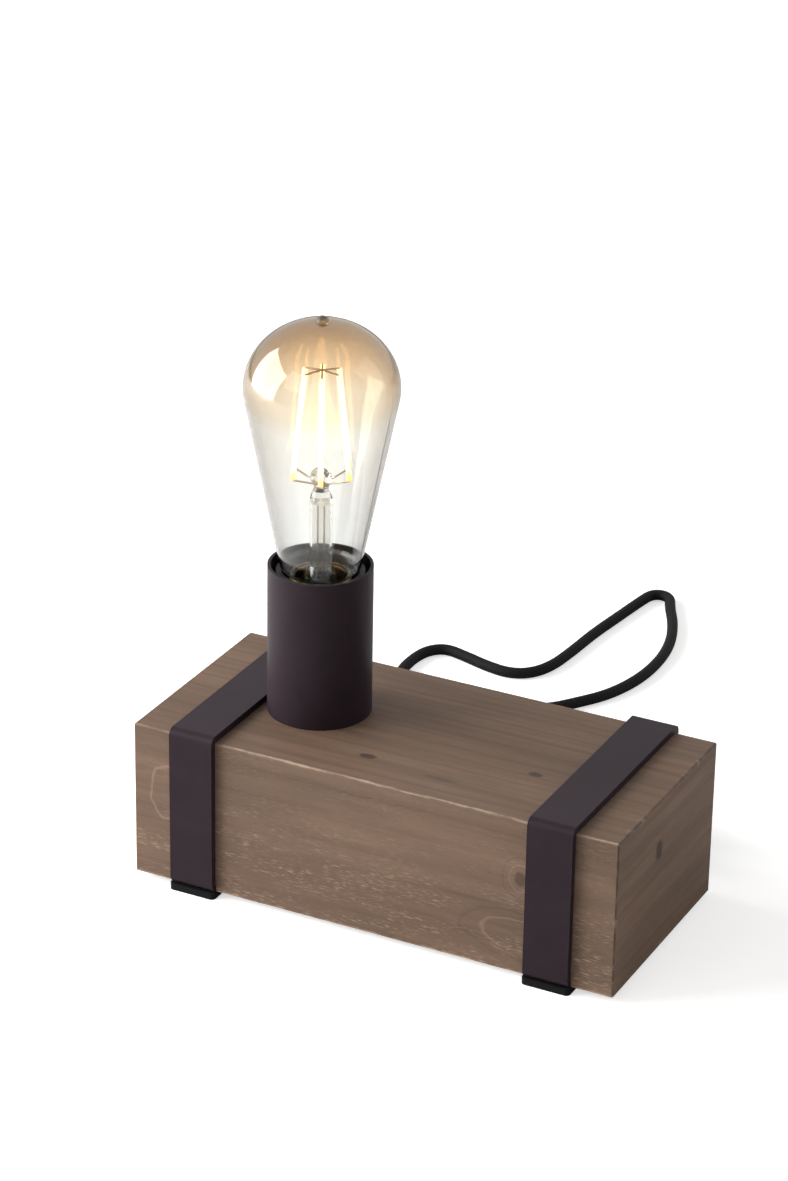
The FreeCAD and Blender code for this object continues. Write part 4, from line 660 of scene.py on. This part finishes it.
amber_glass, glass_shader = finish_of("amber_tinted_glass", Roughness=0.0, IOR=1.48,
                                      Transmission_Weight=1.0)
glass_place = add(amber_glass, "TexCoord").outputs["Object"]
glass_height = add(amber_glass, "SeparateXYZ", inputs={"Vector": glass_place}).outputs["Z"]
up_glass = add(amber_glass, "MapRange", inputs={
    "Value": glass_height, "From Min": TINT_FROM * MM, "From Max": TINT_TO * MM})
tint = add(amber_glass, "ValToRGB", inputs={"Fac": up_glass.outputs[0]}, stops=[
    (0.0, "#EEF0F0"), (0.60, "#F4F2EC"), (0.70, "#EDDFC9"), (1.0, "#D2B793")])
turned_away = add(amber_glass, "LayerWeight", inputs={"Blend": 0.35})
edge_tint = add(amber_glass, "MixRGB", blend_type="MULTIPLY", inputs={
    "Fac": turned_away.outputs["Facing"], "Color1": tint.outputs["Color"],
    "Color2": colour("#5A4A3A")})
link(amber_glass, edge_tint.outputs["Color"], glass_shader.inputs["Base Color"])
# The sealed tip is a little lump of cloudy glass.
cloudy = add(amber_glass, "MapRange", inputs={
    "Value": glass_height, "From Min": TIP_FROM * MM, "From Max": TIP_TO * MM, "To Max": 0.4})
link(amber_glass, cloudy.outputs[0], glass_shader.inputs["Roughness"])
dress(amber_glass, "bulb_glass")

stem_glass, _ = finish_of("clear_stem_glass", Base_Color=colour("#F1EFEC"), Roughness=0.03,
                          IOR=1.5, Transmission_Weight=1.0)
dress(stem_glass, "bulb_stem")
print("glass dressed")

# %% Glowing sticks
FOOT_HEIGHT = 179.0
ORANGE_REACH = 6.0

phosphor, phosphor_shader = finish_of("lit_phosphor_silicone", Base_Color=colour("#F4DFA0"),
                                      Roughness=0.5, Emission_Strength=4.0)
stick_place = add(phosphor, "TexCoord").outputs["Object"]
stick_height = add(phosphor, "SeparateXYZ", inputs={"Vector": stick_place}).outputs["Z"]
up_stick = add(phosphor, "MapRange", inputs={
    "Value": stick_height, "From Min": FOOT_HEIGHT * MM,
    "From Max": (FOOT_HEIGHT + ORANGE_REACH) * MM})
glow = add(phosphor, "ValToRGB", inputs={"Fac": up_stick.outputs[0]}, stops=[
    (0.0, "#D87A1C"), (0.5, "#FFC768"), (1.0, "#FFE6B4")])
link(phosphor, glow.outputs["Color"], phosphor_shader.inputs["Emission Color"])
dress(phosphor, "led_filaments")
print("sticks glow from", FOOT_HEIGHT, "mm up")

# %% [markdown]
# ### The pinch
# Where the wires enter, the glass stem was pressed flat while it was hot, which leaves
# a crumpled clear lump. It starts as a sphere, is flattened and lengthened, and then its
# points are pushed about by a few sine waves, so that it is the same on each run.

# %% Crumpled glass pinch
BULB_AXIS = -49.3
PINCH_HEIGHT = 177.0
PINCH_WIDTH = 4.4
PINCH_DEPTH = 2.7
PINCH_RISE = 4.8
CRUMPLE = 0.16

pinch = bmesh.new()
bmesh.ops.create_uvsphere(pinch, u_segments=28, v_segments=18, radius=1.0)
for point in pinch.verts:
    x, y, z = point.co
    crumple = 1.0 + CRUMPLE * math.sin(7 * x + 3 * z) + CRUMPLE * math.sin(9 * z - 5 * y)
    point.co = Vector((PINCH_WIDTH * x * crumple, PINCH_DEPTH * y * crumple, PINCH_RISE * z))
bmesh.ops.translate(pinch, verts=pinch.verts, vec=(BULB_AXIS, 0.0, PINCH_HEIGHT))
finished("stem_pinch", pinch, stem_glass, body="bulb")

# %% [markdown]
# ## Strain relief, tie and small trims
# The lead leaves the box through a tapered rubber sleeve, whose slots between the ribs
# let it bend. It is a profile that is spun round the lead. The ribs come from a loop, and
# each one is a plain band with a slot beside it.

# %% Ribbed strain relief
RELIEF_START = LEAD_ROUTE[0]
RELIEF_BORE = CORD_RADIUS + 0.1
RELIEF_LENGTH = 26.0
RELIEF_ROOT = 5.5
RELIEF_TIP = 3.9
PLAIN_ROOT = 2.0
PLAIN_TIP = 1.0
TIP_ROUNDING = 0.4
SLOT_DEPTH = 0.9
RIBS = 7
# Shares of a rib's length, and how far the outline steps back there.
RIB_OUTLINE = ((0.0, 0.0), (0.1, SLOT_DEPTH), (0.4, SLOT_DEPTH), (0.5, 0.0), (0.95, 0.0))

relief = bmesh.new()
profile = [(RELIEF_BORE, 0.0), (RELIEF_ROOT, 0.0)]
rib_length = (RELIEF_LENGTH - PLAIN_ROOT - PLAIN_TIP) / RIBS
for rib in range(RIBS):
    start = PLAIN_ROOT + rib * rib_length
    for share, drop in RIB_OUTLINE:
        along = start + share * rib_length
        outer = RELIEF_ROOT + (RELIEF_TIP - RELIEF_ROOT) * along / RELIEF_LENGTH
        profile.append((outer - drop, along))
profile += [(RELIEF_TIP, RELIEF_LENGTH - TIP_ROUNDING),
            (RELIEF_TIP - TIP_ROUNDING, RELIEF_LENGTH), (RELIEF_BORE, RELIEF_LENGTH)]
corners = [relief.verts.new((radius, along, 0.0)) for radius, along in profile]
edges = [relief.edges.new(pair) for pair in zip(corners, corners[1:] + corners[:1])]
bmesh.ops.spin(relief, geom=corners + edges, cent=(0, 0, 0), axis=(0, 1, 0), steps=40,
               angle=2 * math.pi, use_merge=True)
bmesh.ops.remove_doubles(relief, verts=relief.verts, dist=1e-4)
bmesh.ops.recalc_face_normals(relief, faces=relief.faces)
bmesh.ops.translate(relief, verts=relief.verts, vec=RELIEF_START)
relief_piece = finished("ribbed_strain_relief", relief, moulded_black,
                        smooth=False)
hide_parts("strain_relief")

# %% [markdown]
# ### The tie
# A soft woven strap holds the spare length. A ring of points with rounded corners is
# pulled out to the strap's width, and solidify gives it its thickness. Its size follows
# from the coil that it holds.

# %% Soft tie round the coil
TIE_ANGLE = math.radians(80.0)
TIE_WIDTH = 6.0
TIE_GAUGE = 0.6
TIE_GAP = 0.3
TIE_CORNER = 2.6
CORNER_STEPS = 5
TIE_HALF = COIL_TURNS * COIL_PITCH / 2 + CORD_RADIUS + TIE_GAP + TIE_GAUGE
TIE_TOP = COIL_BASE + COIL_RISE + CORD_RADIUS + TIE_GAP + TIE_GAUGE

hook_and_loop = grained("woven_hook_and_loop_strap", "#1A1A1B", 0.85, 0.5, 0.12)
tie = bmesh.new()
centres = [(TIE_HALF - TIE_CORNER, TIE_CORNER), (TIE_HALF - TIE_CORNER, TIE_TOP - TIE_CORNER),
           (TIE_CORNER - TIE_HALF, TIE_TOP - TIE_CORNER), (TIE_CORNER - TIE_HALF, TIE_CORNER)]
ring = []
for quarter, (middle_x, middle_z) in enumerate(centres):
    for step in range(CORNER_STEPS + 1):
        angle = math.radians(90.0 * (quarter - 1) + 90.0 / CORNER_STEPS * step)
        ring.append(tie.verts.new((middle_x + TIE_CORNER * math.cos(angle), -TIE_WIDTH / 2,
                                   middle_z + TIE_CORNER * math.sin(angle))))
loop_edges = [tie.edges.new(pair) for pair in zip(ring, ring[1:] + ring[:1])]
pulled = bmesh.ops.extrude_edge_only(tie, edges=loop_edges)
far_side = [item for item in pulled["geom"] if isinstance(item, bmesh.types.BMVert)]
bmesh.ops.translate(tie, verts=far_side, vec=(0.0, TIE_WIDTH, 0.0))
bmesh.ops.recalc_face_normals(tie, faces=tie.faces)
bmesh.ops.solidify(tie, geom=tie.faces[:], thickness=TIE_GAUGE)
bmesh.ops.recalc_face_normals(tie, faces=tie.faces)
lowest = min(point.co.z for point in tie.verts)
coil_middle = COIL_RADIUS - COIL_TURNS * COIL_PITCH / 2
tie_place = Matrix.Translation((COIL_MIDDLE[0] + coil_middle * math.cos(TIE_ANGLE),
                                COIL_MIDDLE[1] + coil_middle * math.sin(TIE_ANGLE), -lowest))
bmesh.ops.transform(tie, matrix=tie_place @ Matrix.Rotation(TIE_ANGLE, 4, "Z"), verts=tie.verts)
tie_piece = finished("coil_tie_strap", tie, hook_and_loop, smooth=False)
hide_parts("cord_tie")

# %% [markdown]
# ### Trims of plug and switch
# A plug like this has raised ridges to grip it by, on its upper and its lower face. Each
# is a small block with softened edges, and a helper makes such blocks.

# %% Plug ridges
PLUG_FACE = 26.1
PLUG_THICKNESS = 14.0
PLUG_MIDDLE = 81.0
FIRST_RIDGE = 44.0
RIDGE_PITCH = 2.6
RIDGES = 6
RIDGE_SIDES = (1.2, 20.0, 0.8)
RIDGE_EDGE = 0.25


def soft_block(maker, middle, sides, soft):
    """Add a block with rounded edges to a bmesh, sizes in mm."""
    made = bmesh.ops.create_cube(maker, size=1.0)["verts"]
    bmesh.ops.scale(maker, verts=made, vec=sides)
    bmesh.ops.translate(maker, verts=made, vec=middle)
    block_edges = list(dict.fromkeys(edge for point in made for edge in point.link_edges))
    bmesh.ops.bevel(maker, geom=block_edges, offset=soft, segments=2, profile=0.5,
                    affect="EDGES", material=-1)


grips = bmesh.new()
for row in range(RIDGES):
    for face in (PLUG_FACE, PLUG_FACE - PLUG_THICKNESS):
        soft_block(grips, (FIRST_RIDGE + RIDGE_PITCH * row, PLUG_MIDDLE, face), RIDGE_SIDES,
                   RIDGE_EDGE)
grip_piece = finished("plug_grip_ridges", grips, moulded_black,
                      smooth=False)

# %% [markdown]
# ### Marks of the rocker
# A bar and a ring stand for on and off. The bar is a block. The ring starts as a circle,
# is pulled inwards to a flat band and then raised. Both ride on the rocker and tip with it.

# %% Marks of the rocker
ROCKER_TILT = math.radians(8.0)
ROCKER_PIVOT = (-28.0, 120.0, 13.2)
MARK_HEIGHT = 3.2
MARK_THICKNESS = 0.4
MARK_REACH = 6.0
BAR_WIDTH = 0.7
BAR_LENGTH = 3.0
BAR_EDGE = 0.1
RING_RADIUS = 1.5
RING_HOLE_SHARE = 0.6

marks = bmesh.new()
soft_block(marks, (0.0, MARK_REACH, MARK_HEIGHT), (BAR_WIDTH, BAR_LENGTH, MARK_THICKNESS),
           BAR_EDGE)
ring_made = bmesh.ops.create_circle(marks, cap_ends=False, segments=24,
                                    radius=RING_RADIUS)["verts"]
ring_edges = list(dict.fromkeys(edge for point in ring_made for edge in point.link_edges))
inner = bmesh.ops.extrude_edge_only(marks, edges=ring_edges)["geom"]
inner_points = [item for item in inner if isinstance(item, bmesh.types.BMVert)]
bmesh.ops.scale(marks, verts=inner_points,
                vec=(RING_HOLE_SHARE, RING_HOLE_SHARE, 1.0))
ring_faces = [item for item in inner if isinstance(item, bmesh.types.BMFace)]
raised_ring = bmesh.ops.extrude_face_region(marks, geom=ring_faces)["geom"]
ring_top = [item for item in raised_ring if isinstance(item, bmesh.types.BMVert)]
bmesh.ops.translate(marks, verts=ring_top, vec=(0.0, 0.0, MARK_THICKNESS))
whole_ring = list(dict.fromkeys([*ring_made, *inner_points, *ring_top]))
bmesh.ops.translate(marks, verts=whole_ring,
                    vec=(0.0, -MARK_REACH, MARK_HEIGHT - MARK_THICKNESS / 2))
bmesh.ops.recalc_face_normals(marks, faces=marks.faces)
rocker_place = Matrix.Translation(ROCKER_PIVOT) @ Matrix.Rotation(ROCKER_TILT, 4, "X")
bmesh.ops.transform(marks, matrix=rocker_place, verts=marks.verts)
white_print = grained("white_marking_print", "#D8D8D4", 0.5, 0.4, 0.005)
finished("rocker_marks", marks, white_print, body="rocker",
         smooth=False)

# %% [markdown]
# ## The end
# The Standard view shows colours as they are written.

bpy.context.scene.view_settings.view_transform = "Standard"
